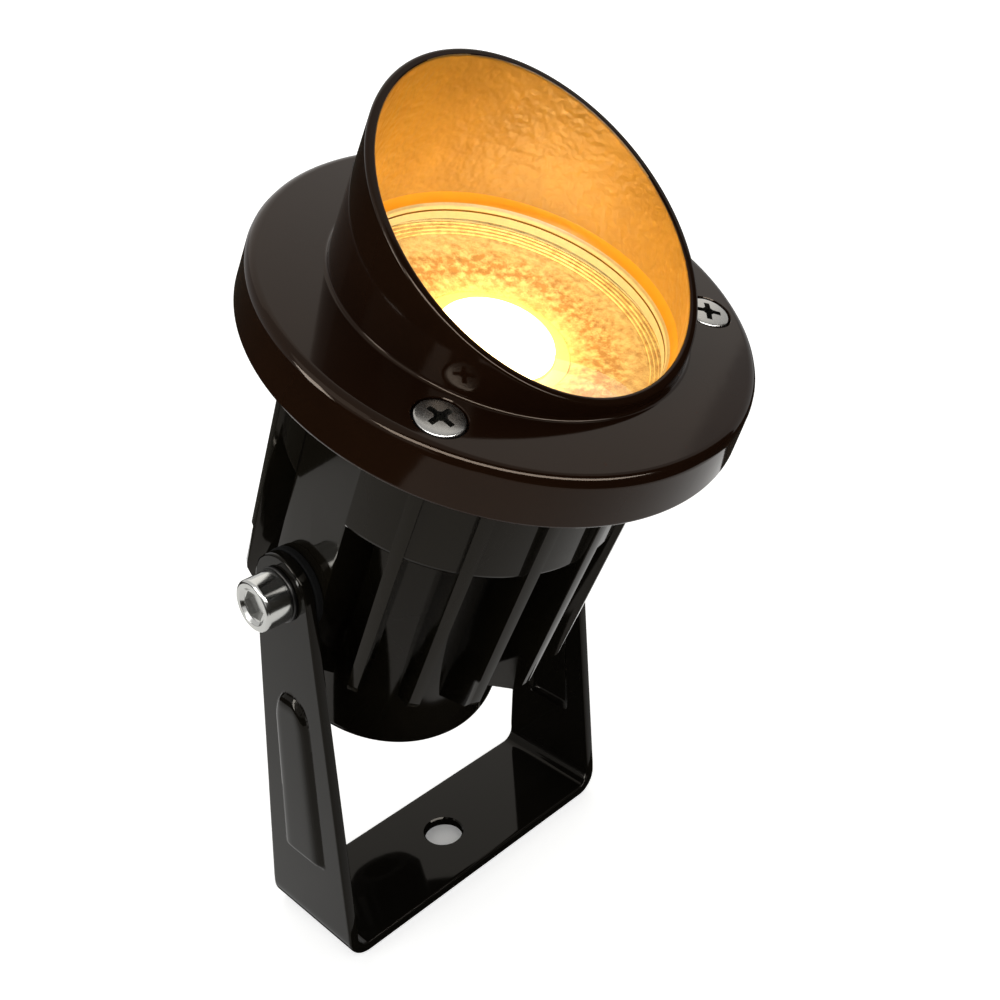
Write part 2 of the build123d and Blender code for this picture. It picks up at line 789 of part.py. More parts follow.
os.makedirs("parts", exist_ok=True)
for name, piece in pieces.items():
    piece.part.label = name
    export_step(piece.part, f"parts/{name}.step")
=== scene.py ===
"""Outdoor spotlight: gloss painted castings, stainless fasteners and a lit lamp behind clear glass.

Sizes are in millimetres until a mesh is finished. Heights in the head are counted from the pivot
along the beam, as in the part's source.
"""
from math import copysign, cos, hypot, pi, radians, sin, sqrt, tan

import bmesh
import bpy
from mathutils import Matrix, Quaternion, Vector, noise


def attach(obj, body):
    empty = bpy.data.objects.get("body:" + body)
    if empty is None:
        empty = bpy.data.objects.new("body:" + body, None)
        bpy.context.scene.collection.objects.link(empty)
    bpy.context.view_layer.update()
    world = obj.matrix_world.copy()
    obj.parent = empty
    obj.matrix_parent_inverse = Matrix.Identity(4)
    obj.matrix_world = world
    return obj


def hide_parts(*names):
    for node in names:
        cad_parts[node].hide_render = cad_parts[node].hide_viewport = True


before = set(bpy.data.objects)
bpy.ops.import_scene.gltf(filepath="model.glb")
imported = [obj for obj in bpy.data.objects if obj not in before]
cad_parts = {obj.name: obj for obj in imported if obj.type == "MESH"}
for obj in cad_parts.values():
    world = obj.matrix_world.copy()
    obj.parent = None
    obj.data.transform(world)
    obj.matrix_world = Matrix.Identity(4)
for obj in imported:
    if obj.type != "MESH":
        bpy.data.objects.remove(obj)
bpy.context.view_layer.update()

# Head and pivot
MM = 0.001
TILT = 24.2
PIVOT_HEIGHT = 74.0
PIVOT = Matrix.Translation((0, 0, PIVOT_HEIGHT))
HEAD = PIVOT @ Matrix.Rotation(radians(TILT), 4, "X")
PART = Matrix.Identity(4)
SIDEWAYS = Matrix.Rotation(radians(90), 4, "Y")
UPRIGHT = Matrix.Rotation(radians(90), 4, "X")

# Smoothness of the meshes, and how far cutters stand past a face
AROUND = 192
ARC_STEPS = 5
HOLD = 0.12
CLEAR = 0.25
SHARP_ANGLE = radians(34)

# Bezel
HOOD_RADIUS = 29.7
HOOD_WALL = 1.6
HOOD_TAPER = tan(radians(3.2))
FLANGE_TOP = 54.7
FLANGE_BOTTOM = 45.5
FLANGE_RADIUS = 42.48
FLANGE_TOP_RADIUS = 41.88
FLANGE_ROUND = 1.6
PLATE_UNDER = 50.5
SKIRT_INNER = 39.6
RIM_HEIGHT = 69.8
RIM_SLOPE = tan(radians(24.0))
LIP_RADIUS = 27.0
LIP_TOP = 54.6
LIP_LOW = 52.4
BEAD_TOP = 52.8
BEAD_GROOVE = 51.5
BEAD_WIDTH = 1.2
GROOVE_DEPTH = 0.25
GROOVE_HALF, GROOVE_FLOOR_HALF = 0.2, 0.12
GLASS_TOP = 49.7
SEAL_GAP = 0.02
RIM_ROUND = 0.5
WALL_FACING = 0.7

# Screws in the flange
SCREW_COUNT = 3
SCREW_FIRST = radians(-150)
SCREW_STEP = radians(120)
SCREW_CIRCLE = 35.4
SCREW_HEAD = 3.85
SCREW_SEAT = 52.5
SCREW_CROWN = 54.95
SCREW_DOMING = 0.25
SCREW_SHANK = 2.0
SCREW_END = 46.4
SCREW_HOLE = 2.25
SCREW_HOLE_END = 51.0
RECESS_RADIUS = 4.2
RECESS_CHAMFER = 0.12
CROSS_WING = 2.4
CROSS_WAIST = 0.52
CROSS_THROAT = 0.95
CROSS_FLOOR = 52.9
CROSS_TAPER = 0.72

# Housing
CORE_RADIUS = 22.9
CORE_BOTTOM = -38.0
COLLAR_RADIUS = 31.26
COLLAR_BOTTOM = 20.9
NECK_LOW = 41.6
SHOULDER_RADIUS = 35.95
HOUSING_UNDER = 46.2
HOUSING_TOP = 50.3
HOUSING_RIM = 39.3
GASKET_SEAT = 31.45
GASKET_FLOOR = 45.9
DISH_SEAT = 28.4
DISH_FLOOR = 45.7
WELL_FLOOR = 35.3
DRIVER_BORE = 20.3
DRIVER_FLOOR = -34.4
FIN_COUNT = 18
FIN_STEP = radians(20)
FIN_ROOT = 21.6
FIN_REACH = 32.7
FIN_TIP_REACH = 31.9
FIN_CUT_REACH = 30.7
FIN_TIP = -11.8
FIN_CUT_DROP = 2.4
FIN_FOOT = -23.0
FIN_LOW = -24.9
FIN_SLOPE_TOP = -13.3
FIN_HALF_TOP = 1.25
FIN_HALF_LOW = 0.85
TIP_ROUND = 1.2
WEB_ROOT = 28.5
WEB_RISE = 1.5
WEB_EDGE = 0.5
PAD_REACH = 30.3
PAD_HALF_WIDTH = 6.6
PAD_DROP = 2.6
PAD_SECTOR = 0.3
GLAND_HOLE = 6.05

# Bracket
ARM_MIDDLE = 32.75
BASE_MIDDLE = 1.0
PLATE = 2.0
BEND = 3.5
BASE_HALF_DEPTH = 11.75
ARM_END = 7.2
TAPER_START = 6.0
BASE_HOLE = 3.9
PIVOT_HOLE = 2.58
EDGE_ROUND = 0.35
RIB_LOW, RIB_HIGH = 18.0, 53.7
RIB_FOOT, RIB_END = 5.7, 4.4
RIB_RISE = 1.05
RIB_SQUARENESS = 7
RIB_NOSE = 6.5
RIB_TIP = 3.0
RIB_RAMP = 1.3

# Pivot bolts and washers, counted from the middle of the pivot
BOLT_HOLE = 2.55
BOLT_HOLE_START, BOLT_HOLE_END = 22, 33
BOLT_SHANK = 2.5
BOLT_END = 22.5
BOLT_SEAT = 34.5
BOLT_HEAD = 4.7
BOLT_TOP = 39.5
SOCKET_MOUTH = 3.4
SOCKET_THROAT = 2.85
SOCKET_CONE = 39.0
SOCKET_FLATS = 4.8
SOCKET_FLOOR = 38.0
PLAIN_WASHER = 5.0
PLAIN_WASHER_FOOT = 33.8
RUBBER_WASHER = 7.4
RUBBER_WASHER_TOP = 31.7

# Glass, reflector and lamp
GLASS_RADIUS = 30.6
GLASS_UNDER = 46.7
DISH_MOUTH, DISH_EDGE = 13.0, 25.4
DISH_LOW, DISH_HIGH = 43.0, 45.4
DISH_BULGE = 1.0
DISH_STEPS = 44
DISH_WALL, DISH_DEPTH = 0.5, 0.7
DISH_RIM, DISH_RIM_TOP, DISH_RIM_INNER = 28.35, 46.48, 26.9
DISH_NECK, DISH_NECK_TOP = 13.9, 42.3
DENT_START, DENT_END, DENT_LOW = 14.5, 25.0, 42.5
DENT_DEPTH, DENT_PITCH = 0.16, 0.75
RING_STEPS, RING_WIDTH, RING_RISE = 4, 0.65, 0.27
RING_DRAFT = 0.05
LAMP_UNDER = 41.2
LAMP_RADIUS, LAMP_FOOT, LAMP_RISE = 10.2, 43.0, 2.7
LAMP_FULLNESS = 0.75
LAMP_STEPS = 12
DAM_RADIUS, DAM_TOP = 12.9, 42.9
DAM_INNER, DAM_FOOT = 10.5, 42.6

# Cord gland
GLAND_RING = 8.2
GLAND_RING_LOW = -39.0
GLAND_FLATS = 16.0
GLAND_HEX_LOW = -43.0
GLAND_THREAD, GLAND_BORE = 6.0, 4.2
GLAND_THREAD_LOW = -50.0
SLEEVE_BORE, SLEEVE_RADIUS = 3.1, 5.0
SLEEVE_LOW, SLEEVE_TOP = -50.8, -44.8
CAP_RADIUS, CAP_FACE, CAP_BORE = 8.6, 6.6, 6.25
CAP_LOW, CAP_SHOULDER, CAP_TOP = -53.2, -50.9, -43.4
CAP_GROOVES, CAP_GROOVE_DEPTH = 12, 0.8

# Studio
PAPER_HALF_WIDTH = 165.0
FELT_REACH = 3500
# Floor glow under the middle of the base: a painted shadow
GLOW_IN_PAINTED_SHADOW = 0.12
GLOW_AROUND = 0.66
GLOW_FAR = 0.8
WORLD_FILL = 0.35


# Small makers for nodes, meshes and pieces

def linear(colour):
    """Linear red, green, blue and alpha of an sRGB hex colour."""
    parts = [int(colour[i:i + 2], 16) / 255 for i in (1, 3, 5)]
    return [p / 12.92 if p <= 0.04045 else ((p + 0.055) / 1.055) ** 2.4 for p in parts] + [1.0]


def add(tree, kind, inputs=None, **settings):
    """Add a node: settings are its own properties, inputs are values or outputs of other nodes."""
    made = tree.nodes.new(kind)
    for key, value in settings.items():
        setattr(made, key, value)
    for socket, value in (inputs or {}).items():
        if isinstance(value, bpy.types.NodeSocket):
            tree.links.new(value, made.inputs[socket])
        else:
            made.inputs[socket].default_value = value
    return made


def rounded(corners, steps=ARC_STEPS):
    """Closed outline through (x, y, radius) corners, with an arc at each that has a radius."""
    points = []
    for i, (x, y, radius) in enumerate(corners):
        here = Vector((x, y))
        if not radius:
            points.append(here)
            continue
        before = (Vector(corners[i - 1][:2]) - here).normalized()
        after = (Vector(corners[(i + 1) % len(corners)][:2]) - here).normalized()
        half = before.angle(after) / 2
        reach = radius / tan(half)
        middle = here + (before + after).normalized() * (radius / sin(half))
        start = here + before * reach - middle
        end = here + after * reach - middle
        points.append(middle + start + before * HOLD)
        points += [middle + radius * start.slerp(end, k / steps) for k in range(steps + 1)]
        points.append(middle + end + after * HOLD)
    return points


def lathe(outline, around=AROUND):
    """Solid turned round z; outline is a closed list of (radius, height), or gives one for an angle."""
    bm = bmesh.new()
    rows = []
    for i in range(around):
        turn = 2 * pi * i / around
        points = outline(turn) if callable(outline) else outline
        rows.append([bm.verts.new((r * cos(turn), r * sin(turn), z)) for r, z in points])
    for i, row in enumerate(rows):
        beside = rows[(i + 1) % around]
        for j, vert in enumerate(row):
            k = (j + 1) % len(row)
            bm.faces.new((vert, beside[j], beside[k], row[k]))
    bmesh.ops.remove_doubles(bm, verts=bm.verts, dist=MM)
    bmesh.ops.recalc_face_normals(bm, faces=bm.faces)
    return bm


def prism(outline, low, high, taper=1.0):
    """Block over an (x, y) outline from one height to another; taper scales its lower face."""
    bm = bmesh.new()
    bottom = [bm.verts.new((x * taper, y * taper, low)) for x, y in outline]
    top = [bm.verts.new((x, y, high)) for x, y in outline]
    bm.faces.new(bottom)
    bm.faces.new(top)
    for i, vert in enumerate(bottom):
        k = (i + 1) % len(bottom)
        bm.faces.new((vert, bottom[k], top[k], top[i]))
    bmesh.ops.recalc_face_normals(bm, faces=bm.faces)
    return bm


def soften(bm, width, chosen, steps=3):
    """Round the edges that chosen picks."""
    edges = [edge for edge in bm.edges if chosen(edge)]
    bmesh.ops.bevel(bm, geom=edges, offset=width, offset_type="OFFSET", segments=steps, profile=0.5,
                    affect="EDGES", clamp_overlap=True)
    return bm


def as_object(name, bm):
    """Plain object from a mesh that is still in millimetres."""
    mesh = bpy.data.meshes.new(name)
    bm.to_mesh(mesh)
    bm.free()
    obj = bpy.data.objects.new(name, mesh)
    bpy.context.collection.objects.link(obj)
    return obj


def settled(obj):
    """Mesh of an object with its modifiers applied; the object itself goes."""
    bpy.context.view_layer.update()
    mesh = bpy.data.meshes.new_from_object(obj.evaluated_get(bpy.context.evaluated_depsgraph_get()))
    bm = bmesh.new()
    bm.from_mesh(mesh)
    bpy.data.meshes.remove(mesh)
    old = obj.data
    bpy.data.objects.remove(obj)
    bpy.data.meshes.remove(old)
    return bm


def combine(base, tool, operation):
    """Exact boolean of two closed meshes."""
    body = as_object("body", base)
    other = as_object("tool", tool)
    joint = body.modifiers.new("joint", "BOOLEAN")
    joint.operation = operation
    joint.solver = "EXACT"
    joint.object = other
    result = settled(body)
    old = other.data
    bpy.data.objects.remove(other)
    bpy.data.meshes.remove(old)
    return result


def hole(radius, low, high, flare=0.25):
    """Cutter for a round hole whose two edges are broken by a small chamfer."""
    return lathe([(0, low - flare), (radius + 2 * flare, low - flare), (radius, low + flare),
                  (radius, high - flare), (radius + 2 * flare, high + flare), (0, high + flare)], 64)


def piece(name, bm, place, body, slot, finishes, *nodes):
    """Finished piece that rides on a body and stands for CAD nodes."""
    bm.transform(Matrix.Scale(MM, 4) @ place)
    obj = as_object(name, bm)
    for finish in finishes:
        obj.data.materials.append(finish)
    obj.data.shade_smooth()
    obj.data.set_sharp_from_angle(angle=SHARP_ANGLE)
    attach(obj, body)
    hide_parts(*nodes)
    return obj


# Camera at the photograph's viewpoint

CAMERA_PLACE = (-136.78, -158.35, 185.69)
CAMERA_TURN = radians(-46.452)
CAMERA_RISE = radians(22.655)
CAMERA_ROLL = radians(-0.323)

camera = bpy.data.objects.new("camera", bpy.data.cameras.new("camera"))
bpy.context.collection.objects.link(camera)
camera.data.sensor_width = 36.0
camera.data.lens = 45.589
camera.data.shift_x = -0.04
camera.data.shift_y = -0.10
camera.data.clip_start = 0.01
camera.location = Vector(CAMERA_PLACE) * MM
sight = Vector((-sin(CAMERA_TURN) * cos(CAMERA_RISE), cos(CAMERA_TURN) * cos(CAMERA_RISE), -sin(CAMERA_RISE)))
camera.rotation_mode = "QUATERNION"
camera.rotation_quaternion = sight.to_track_quat("-Z", "Y") @ Quaternion((0, 0, 1), CAMERA_ROLL)
bpy.context.scene.camera = camera


# Materials

# A thin even shine, weaker than bare resin's, so that the black stays deep under a white studio
PAINT_IOR = 1.24


def material(name):
    """New node material with its Principled shader and object coordinates."""
    made = bpy.data.materials.new(name)
    made.use_nodes = True
    tree = made.node_tree
    place = add(tree, "ShaderNodeTexCoord").outputs["Object"]
    return made, tree, tree.nodes["Principled BSDF"], place


def enamel(name, dark, light, gloss, peel_mm, peel_depth_mm, ior=PAINT_IOR, shine="#ffffff"):
    """Stoved gloss enamel: deep colour with a slow drift, and the soft ripple of flowed paint."""
    made, tree, shader, place = material(name)
    drift = add(tree, "ShaderNodeTexNoise", {"Vector": place, "Scale": 1 / (14 * MM), "Detail": 3.0})
    tone = add(tree, "ShaderNodeMix", {"Factor": drift.outputs["Fac"], 6: linear(dark), 7: linear(light)},
               data_type="RGBA")
    haze = add(tree, "ShaderNodeMapRange", {"Value": drift.outputs["Fac"], "To Min": gloss * 0.8,
                                            "To Max": gloss * 1.25})
    ripple = add(tree, "ShaderNodeTexNoise", {"Vector": place, "Scale": 1 / (peel_mm * MM), "Detail": 1.0})
    relief = add(tree, "ShaderNodeBump", {"Height": ripple.outputs["Fac"], "Strength": 1.0,
                                          "Distance": peel_depth_mm * MM})
    tree.links.new(tone.outputs[2], shader.inputs["Base Color"])
    tree.links.new(haze.outputs["Result"], shader.inputs["Roughness"])
    tree.links.new(relief.outputs["Normal"], shader.inputs["Normal"])
    shader.inputs["IOR"].default_value = ior
    shader.inputs["Specular Tint"].default_value = linear(shine)
    return made


def moulded(name, colour, roughness, grain_mm, grain_depth_mm, ior=1.5):
    """Moulded plastic or rubber: an even colour with a fine grain from the mould."""
    made, tree, shader, place = material(name)
    grain = add(tree, "ShaderNodeTexNoise", {"Vector": place, "Scale": 1 / (grain_mm * MM), "Detail": 4.0})
    tone = add(tree, "ShaderNodeHueSaturation", {"Color": linear(colour)})
    lift = add(tree, "ShaderNodeMapRange", {"Value": grain.outputs["Fac"], "To Min": 0.85, "To Max": 1.15})
    tree.links.new(lift.outputs["Result"], tone.inputs["Value"])
    relief = add(tree, "ShaderNodeBump", {"Height": grain.outputs["Fac"], "Strength": 1.0,
                                          "Distance": grain_depth_mm * MM})
    tree.links.new(tone.outputs["Color"], shader.inputs["Base Color"])
    tree.links.new(relief.outputs["Normal"], shader.inputs["Normal"])
    shader.inputs["Roughness"].default_value = roughness
    shader.inputs["IOR"].default_value = ior
    return made


def metal(name, colour, roughness, grain_mm, stretch, depth_mm):
    """Bare metal: a bright even colour with fine tool marks drawn out along the stretch."""
    made, tree, shader, place = material(name)
    scale = [1 / (grain_mm * share * MM) for share in stretch]
    drawn = add(tree, "ShaderNodeMapping", {"Vector": place, "Scale": scale})
    marks = add(tree, "ShaderNodeTexNoise", {"Vector": drawn.outputs["Vector"], "Scale": 1.0, "Detail": 3.0})
    haze = add(tree, "ShaderNodeMapRange", {"Value": marks.outputs["Fac"], "To Min": roughness * 0.7,
                                            "To Max": roughness * 1.4})
    relief = add(tree, "ShaderNodeBump", {"Height": marks.outputs["Fac"], "Strength": 1.0,
                                          "Distance": depth_mm * MM})
    tree.links.new(haze.outputs["Result"], shader.inputs["Roughness"])
    tree.links.new(relief.outputs["Normal"], shader.inputs["Normal"])
    shader.inputs["Base Color"].default_value = linear(colour)
    shader.inputs["Metallic"].default_value = 1.0
    return made


# Dark bronze stoved enamel on the cast bezel: nearly black, warm, with a wet shine
bronze_enamel = enamel("bronze_stoved_enamel", "#1e1008", "#28170c", 0.07, 2.6, 0.004, 1.22, "#ffe8d2")
# The same enamel inside the hood over the cast skin, with a fine orange peel; its olive brown, far lighter
# than outside, is painted light from the lamp
lamplit_hood_enamel = enamel("bronze_enamel_with_painted_lamp_light", "#7c5b22", "#a07a33", 0.34, 1.6, 0.24)
# The same enamel on the slope at the foot of the hood: a still lighter amber, painted light where the lamp
# shines on it
lamplit_foot_enamel = enamel("bronze_enamel_with_painted_glow_at_the_foot", "#b07a1a", "#c08a22", 0.3, 1.3, 0.04)
# Black stoved enamel on the cast housing: a slightly brown black, smooth and glossy
black_enamel = enamel("black_stoved_enamel", "#100e0a", "#17140e", 0.08, 2.6, 0.006, 1.205, "#fff0dc")
# Black stoved enamel on bent steel sheet: black, flowed out flat to a mirror shine
sheet_enamel = enamel("black_enamel_on_sheet", "#100e0b", "#161410", 0.05, 3.2, 0.003, 1.182, "#fff6e8")
# Polished stainless steel: bright neutral grey, with faint turning marks round the bolts
stainless = metal("polished_stainless_steel", "#adadaa", 0.16, 0.25, (1, 20, 20), 0.0015)
# Tumbled stainless steel of the screws: the same grey with a softer shine
tumbled = metal("tumbled_stainless_steel", "#918f8b", 0.24, 0.35, (1, 1, 1), 0.006)
# Punched cross of the screws: a darker, duller steel, painted shade in the recess
shaded_cross_steel = metal("steel_with_painted_shade_in_the_cross", "#5c5a54", 0.28, 0.4, (1, 1, 1), 0.004)
# Blackened steel washers: dark metal with a dull sheen
black_steel = metal("blackened_steel", "#2c2b2a", 0.34, 0.4, (1, 1, 1), 0.002)
# Machined aluminium plate: pale grey with fine cutter marks
machined = metal("machined_aluminium", "#c6c8ca", 0.3, 0.3, (1, 12, 12), 0.003)
# Moulded EPDM rubber: deep matt black
rubber = moulded("moulded_epdm_rubber", "#090909", 0.85, 0.6, 0.01, 1.15)
# Moulded black nylon of the gland: dark, slightly shiny, with spark-eroded grain
nylon = moulded("black_moulded_nylon", "#111111", 0.42, 0.35, 0.012)
# Pale silicone of the glass's seal and of the bead on the lip: milky, softly shiny
silicone = moulded("translucent_silicone", "#b3a57a", 0.45, 0.8, 0.005, 1.41)
# White solder mask on the lamp's board: bright, smooth
white_mask = moulded("white_solder_mask", "#eeede8", 0.38, 0.5, 0.004)
# Gap pad: soft dull grey
pad_grey = moulded("grey_gap_pad", "#8d9298", 0.8, 0.4, 0.01)
# Green solder mask on the driver's board: deep green, smooth
green_mask = moulded("green_solder_mask", "#12582c", 0.35, 0.5, 0.004)
# Natural nylon of the driver's cup: off-white, waxy
cup_nylon = moulded("natural_nylon", "#d9d8d2", 0.45, 0.7, 0.01)
# Polyester tape on the transformer: warm yellow with a slight shine
winding_tape = moulded("yellow_polyester_tape", "#d9b53a", 0.4, 1.2, 0.01)
# Shrink sleeve on the capacitors: blue-black, shiny
shrink_sleeve = moulded("dark_shrink_sleeve", "#121626", 0.3, 0.9, 0.004)
# Polyamide of the terminal block: mid green, matt
terminal_plastic = moulded("green_polyamide", "#2f7a43", 0.45, 0.4, 0.01)
# Silicone insulation of the leads: red, soft
lead_silicone = moulded("red_silicone_insulation", "#a11712", 0.45, 0.5, 0.004)
# Silicone dam round the phosphor: smooth, its yellow a painted halo of the lamp's light
halo_painted_dam_silicone = moulded("silicone_with_painted_halo", "#e2c26c", 0.4, 0.3, 0.003, 1.41)

# Hammered reflector: cream lacquer over bright metal, half milky and half mirror, with fine random mottling;
# a browner ring halfway out is painted shade between the lit throat and the lit rings at the edge
PAINTED_SHADE_RING = 18.5
hammered, tree, shader, place = material("lacquered_hammered_metal")
dents = add(tree, "ShaderNodeTexNoise", {"Vector": place, "Scale": 1 / (1.5 * MM), "Detail": 6.0,
                                         "Roughness": 0.7})
in_head = add(tree, "ShaderNodeMapping", {"Vector": place, "Location": HEAD.translation * MM,
                                          "Rotation": (radians(TILT), 0, 0)}, vector_type="TEXTURE")
level_place = add(tree, "ShaderNodeVectorMath", {0: in_head.outputs["Vector"], 1: (1, 1, 0)},
                  operation="MULTIPLY")
reach = add(tree, "ShaderNodeVectorMath", {0: level_place.outputs["Vector"]}, operation="LENGTH")
# Near that ring the mottling turns browner: painted shade
aside = add(tree, "ShaderNodeMath", {0: reach.outputs["Value"], 1: PAINTED_SHADE_RING * MM}, operation="SUBTRACT")
off_ring = add(tree, "ShaderNodeMath", {0: aside.outputs[0]}, operation="ABSOLUTE")
shade_limit = add(tree, "ShaderNodeMapRange", {"Value": off_ring.outputs[0], "From Min": 1 * MM,
                                               "From Max": 5 * MM, "To Min": 0.46, "To Max": 0.30})
mottle_and_shade = add(tree, "ShaderNodeMapRange", {"Value": dents.outputs["Fac"],
                                          "From Min": shade_limit.outputs["Result"], "From Max": 0.62})
tone = add(tree, "ShaderNodeMix", {"Factor": mottle_and_shade.outputs["Result"], 6: linear("#a87836"),
                                   7: linear("#e2c27a")}, data_type="RGBA")
relief = add(tree, "ShaderNodeBump", {"Height": dents.outputs["Fac"], "Strength": 1.0, "Distance": 0.10 * MM})
tree.links.new(tone.outputs[2], shader.inputs["Base Color"])
tree.links.new(relief.outputs["Normal"], shader.inputs["Normal"])
shader.inputs["Metallic"].default_value = 0.25
shader.inputs["Roughness"].default_value = 0.38

# Toughened clear glass: no colour of its own, a clean shine, and lamps pass straight through it
clear_glass, tree, shader, place = material("toughened_clear_glass")
shader.inputs["Base Color"].default_value = linear("#fbfdfb")
shader.inputs["Transmission Weight"].default_value = 1.0
shader.inputs["Roughness"].default_value = 0.0
shader.inputs["IOR"].default_value = 1.5
path = add(tree, "ShaderNodeLightPath")
through = add(tree, "ShaderNodeBsdfTransparent")
pane = add(tree, "ShaderNodeMixShader", {0: path.outputs["Is Shadow Ray"], 1: shader.outputs["BSDF"],
                                         2: through.outputs["BSDF"]})
tree.links.new(pane.outputs["Shader"], tree.nodes["Material Output"].inputs["Surface"])

# Lit phosphor under silicone: warm white, so bright that its middle burns out
phosphor, tree, shader, place = material("lit_phosphor")
shader.inputs["Base Color"].default_value = linear("#f5d67a")
shader.inputs["Emission Color"].default_value = linear("#ffd68c")
shader.inputs["Emission Strength"].default_value = 31.0


# Copies round an axis, for the fins, the screws, the bolts and their washers

copies = bpy.data.node_groups.new("copies_round_axis", "GeometryNodeTree")
sockets = {}
for label, kind, value in (
    ("Geometry", "Geometry", None),
    ("Copy", "Object", None),
    ("Finish", "Material", None),
    ("Count", "Int", 2),
    ("First Angle", "Float", 0.0),
    ("Step Angle", "Float", pi),
    ("Circle Radius", "Float", 0.0),
    ("Spin", "Float", 0.0),
    ("Keep Clear", "Float", -1.0),
    ("Seed", "Int", 40),
):
    socket = copies.interface.new_socket(label, in_out="INPUT", socket_type="NodeSocket" + kind)
    if value is not None:
        socket.default_value = value
    sockets[label] = socket.identifier
copies.interface.new_socket("Geometry", in_out="OUTPUT", socket_type="NodeSocketGeometry")
given = add(copies, "NodeGroupInput").outputs
index = add(copies, "GeometryNodeInputIndex").outputs["Index"]
spots = add(copies, "GeometryNodeMeshLine", {"Count": given["Count"], "Offset": (0, 0, 0)}).outputs["Mesh"]
turn = add(copies, "ShaderNodeMath", {0: index, 1: given["Step Angle"], 2: given["First Angle"]},
           operation="MULTIPLY_ADD").outputs[0]
sine = add(copies, "ShaderNodeMath", {0: turn}, operation="SINE").outputs[0]
cosine = add(copies, "ShaderNodeMath", {0: turn}, operation="COSINE").outputs[0]
away = add(copies, "ShaderNodeMath", {0: sine}, operation="ABSOLUTE").outputs[0]
wanted = add(copies, "ShaderNodeMath", {0: away, 1: given["Keep Clear"]}, operation="GREATER_THAN").outputs[0]
ring = add(copies, "ShaderNodeCombineXYZ", {"X": cosine, "Y": sine}).outputs[0]
spot = add(copies, "ShaderNodeVectorMath", {0: ring, "Scale": given["Circle Radius"]},
           operation="SCALE").outputs[0]
chance = add(copies, "FunctionNodeRandomValue", {"ID": index, "Seed": given["Seed"]}).outputs[1]
own_turn = add(copies, "ShaderNodeMath", {0: chance, 1: given["Spin"], 2: turn},
               operation="MULTIPLY_ADD").outputs[0]
facing = add(copies, "ShaderNodeCombineXYZ", {"Z": own_turn}).outputs[0]
placed = add(copies, "GeometryNodeSetPosition", {"Geometry": spots, "Position": spot}).outputs[0]
shape = add(copies, "GeometryNodeObjectInfo", {"Object": given["Copy"]}).outputs["Geometry"]
many = add(copies, "GeometryNodeInstanceOnPoints", {"Points": placed, "Selection": wanted, "Instance": shape,
                                                    "Rotation": facing}).outputs[0]
real = add(copies, "GeometryNodeRealizeInstances", {"Geometry": many}).outputs[0]
finished = add(copies, "GeometryNodeSetMaterial", {"Geometry": real, "Material": given["Finish"]}).outputs[0]
add(copies, "NodeGroupOutput", {"Geometry": finished})


def repeated(bm, finish, **values):
    """Mesh of copies of one shape round the z axis, by the node tree above."""
    copy = as_object("copy", bm)
    copy.hide_render = True
    holder = as_object("holder", bmesh.new())
    modifier = holder.modifiers.new("copies", "NODES")
    modifier.node_group = copies
    modifier[sockets["Copy"]] = copy
    modifier[sockets["Finish"]] = finish
    for label, value in values.items():
        modifier[sockets[label.replace("_", " ").title()]] = value
    result = settled(holder)
    old = copy.data
    bpy.data.objects.remove(copy)
    bpy.data.meshes.remove(old)
    return result


# Bezel: flange, skirt and lip turned with the hood, whose rim follows the slanted cut

def rim_corner(radius, slope):
    """Where a hood wall of this radius meets the slanted rim, in the half-plane of that slope."""
    height = (RIM_HEIGHT + slope * (radius + HOOD_TAPER * FLANGE_TOP)) / (1 + slope * HOOD_TAPER)
    return radius - HOOD_TAPER * (height - FLANGE_TOP), height


def bezel_outline(angle):
    """Outline of the bezel in the half-plane at an angle."""
    slope = RIM_SLOPE * sin(angle)
    inner = HOOD_RADIUS - HOOD_WALL
    return rounded([
        (SKIRT_INNER, PLATE_UNDER, 0.3),
        (SKIRT_INNER, FLANGE_BOTTOM, 0.4),
        (FLANGE_RADIUS, FLANGE_BOTTOM, 0.6),
        (FLANGE_TOP_RADIUS, FLANGE_TOP, FLANGE_ROUND),
        (HOOD_RADIUS, FLANGE_TOP, 0.6),
        (*rim_corner(HOOD_RADIUS, slope), RIM_ROUND),
        (*rim_corner(inner, slope), RIM_ROUND),
        (inner, FLANGE_TOP, 0),
        (inner, LIP_TOP, 0),
        (LIP_RADIUS + BEAD_TOP - LIP_LOW, BEAD_TOP, 0),
        (LIP_RADIUS, LIP_LOW, 0.3),
        (LIP_RADIUS, BEAD_GROOVE + GROOVE_HALF, 0),
        (LIP_RADIUS + GROOVE_DEPTH, BEAD_GROOVE + GROOVE_FLOOR_HALF, 0),
        (LIP_RADIUS + GROOVE_DEPTH, BEAD_GROOVE - GROOVE_FLOOR_HALF, 0),
        (LIP_RADIUS, BEAD_GROOVE - GROOVE_HALF, 0),
        (LIP_RADIUS, GLASS_TOP + SEAL_GAP, 0.1),
        (LIP_RADIUS + BEAD_WIDTH, GLASS_TOP + SEAL_GAP, 0),
        (LIP_RADIUS + BEAD_WIDTH, PLATE_UNDER, 0),
    ])


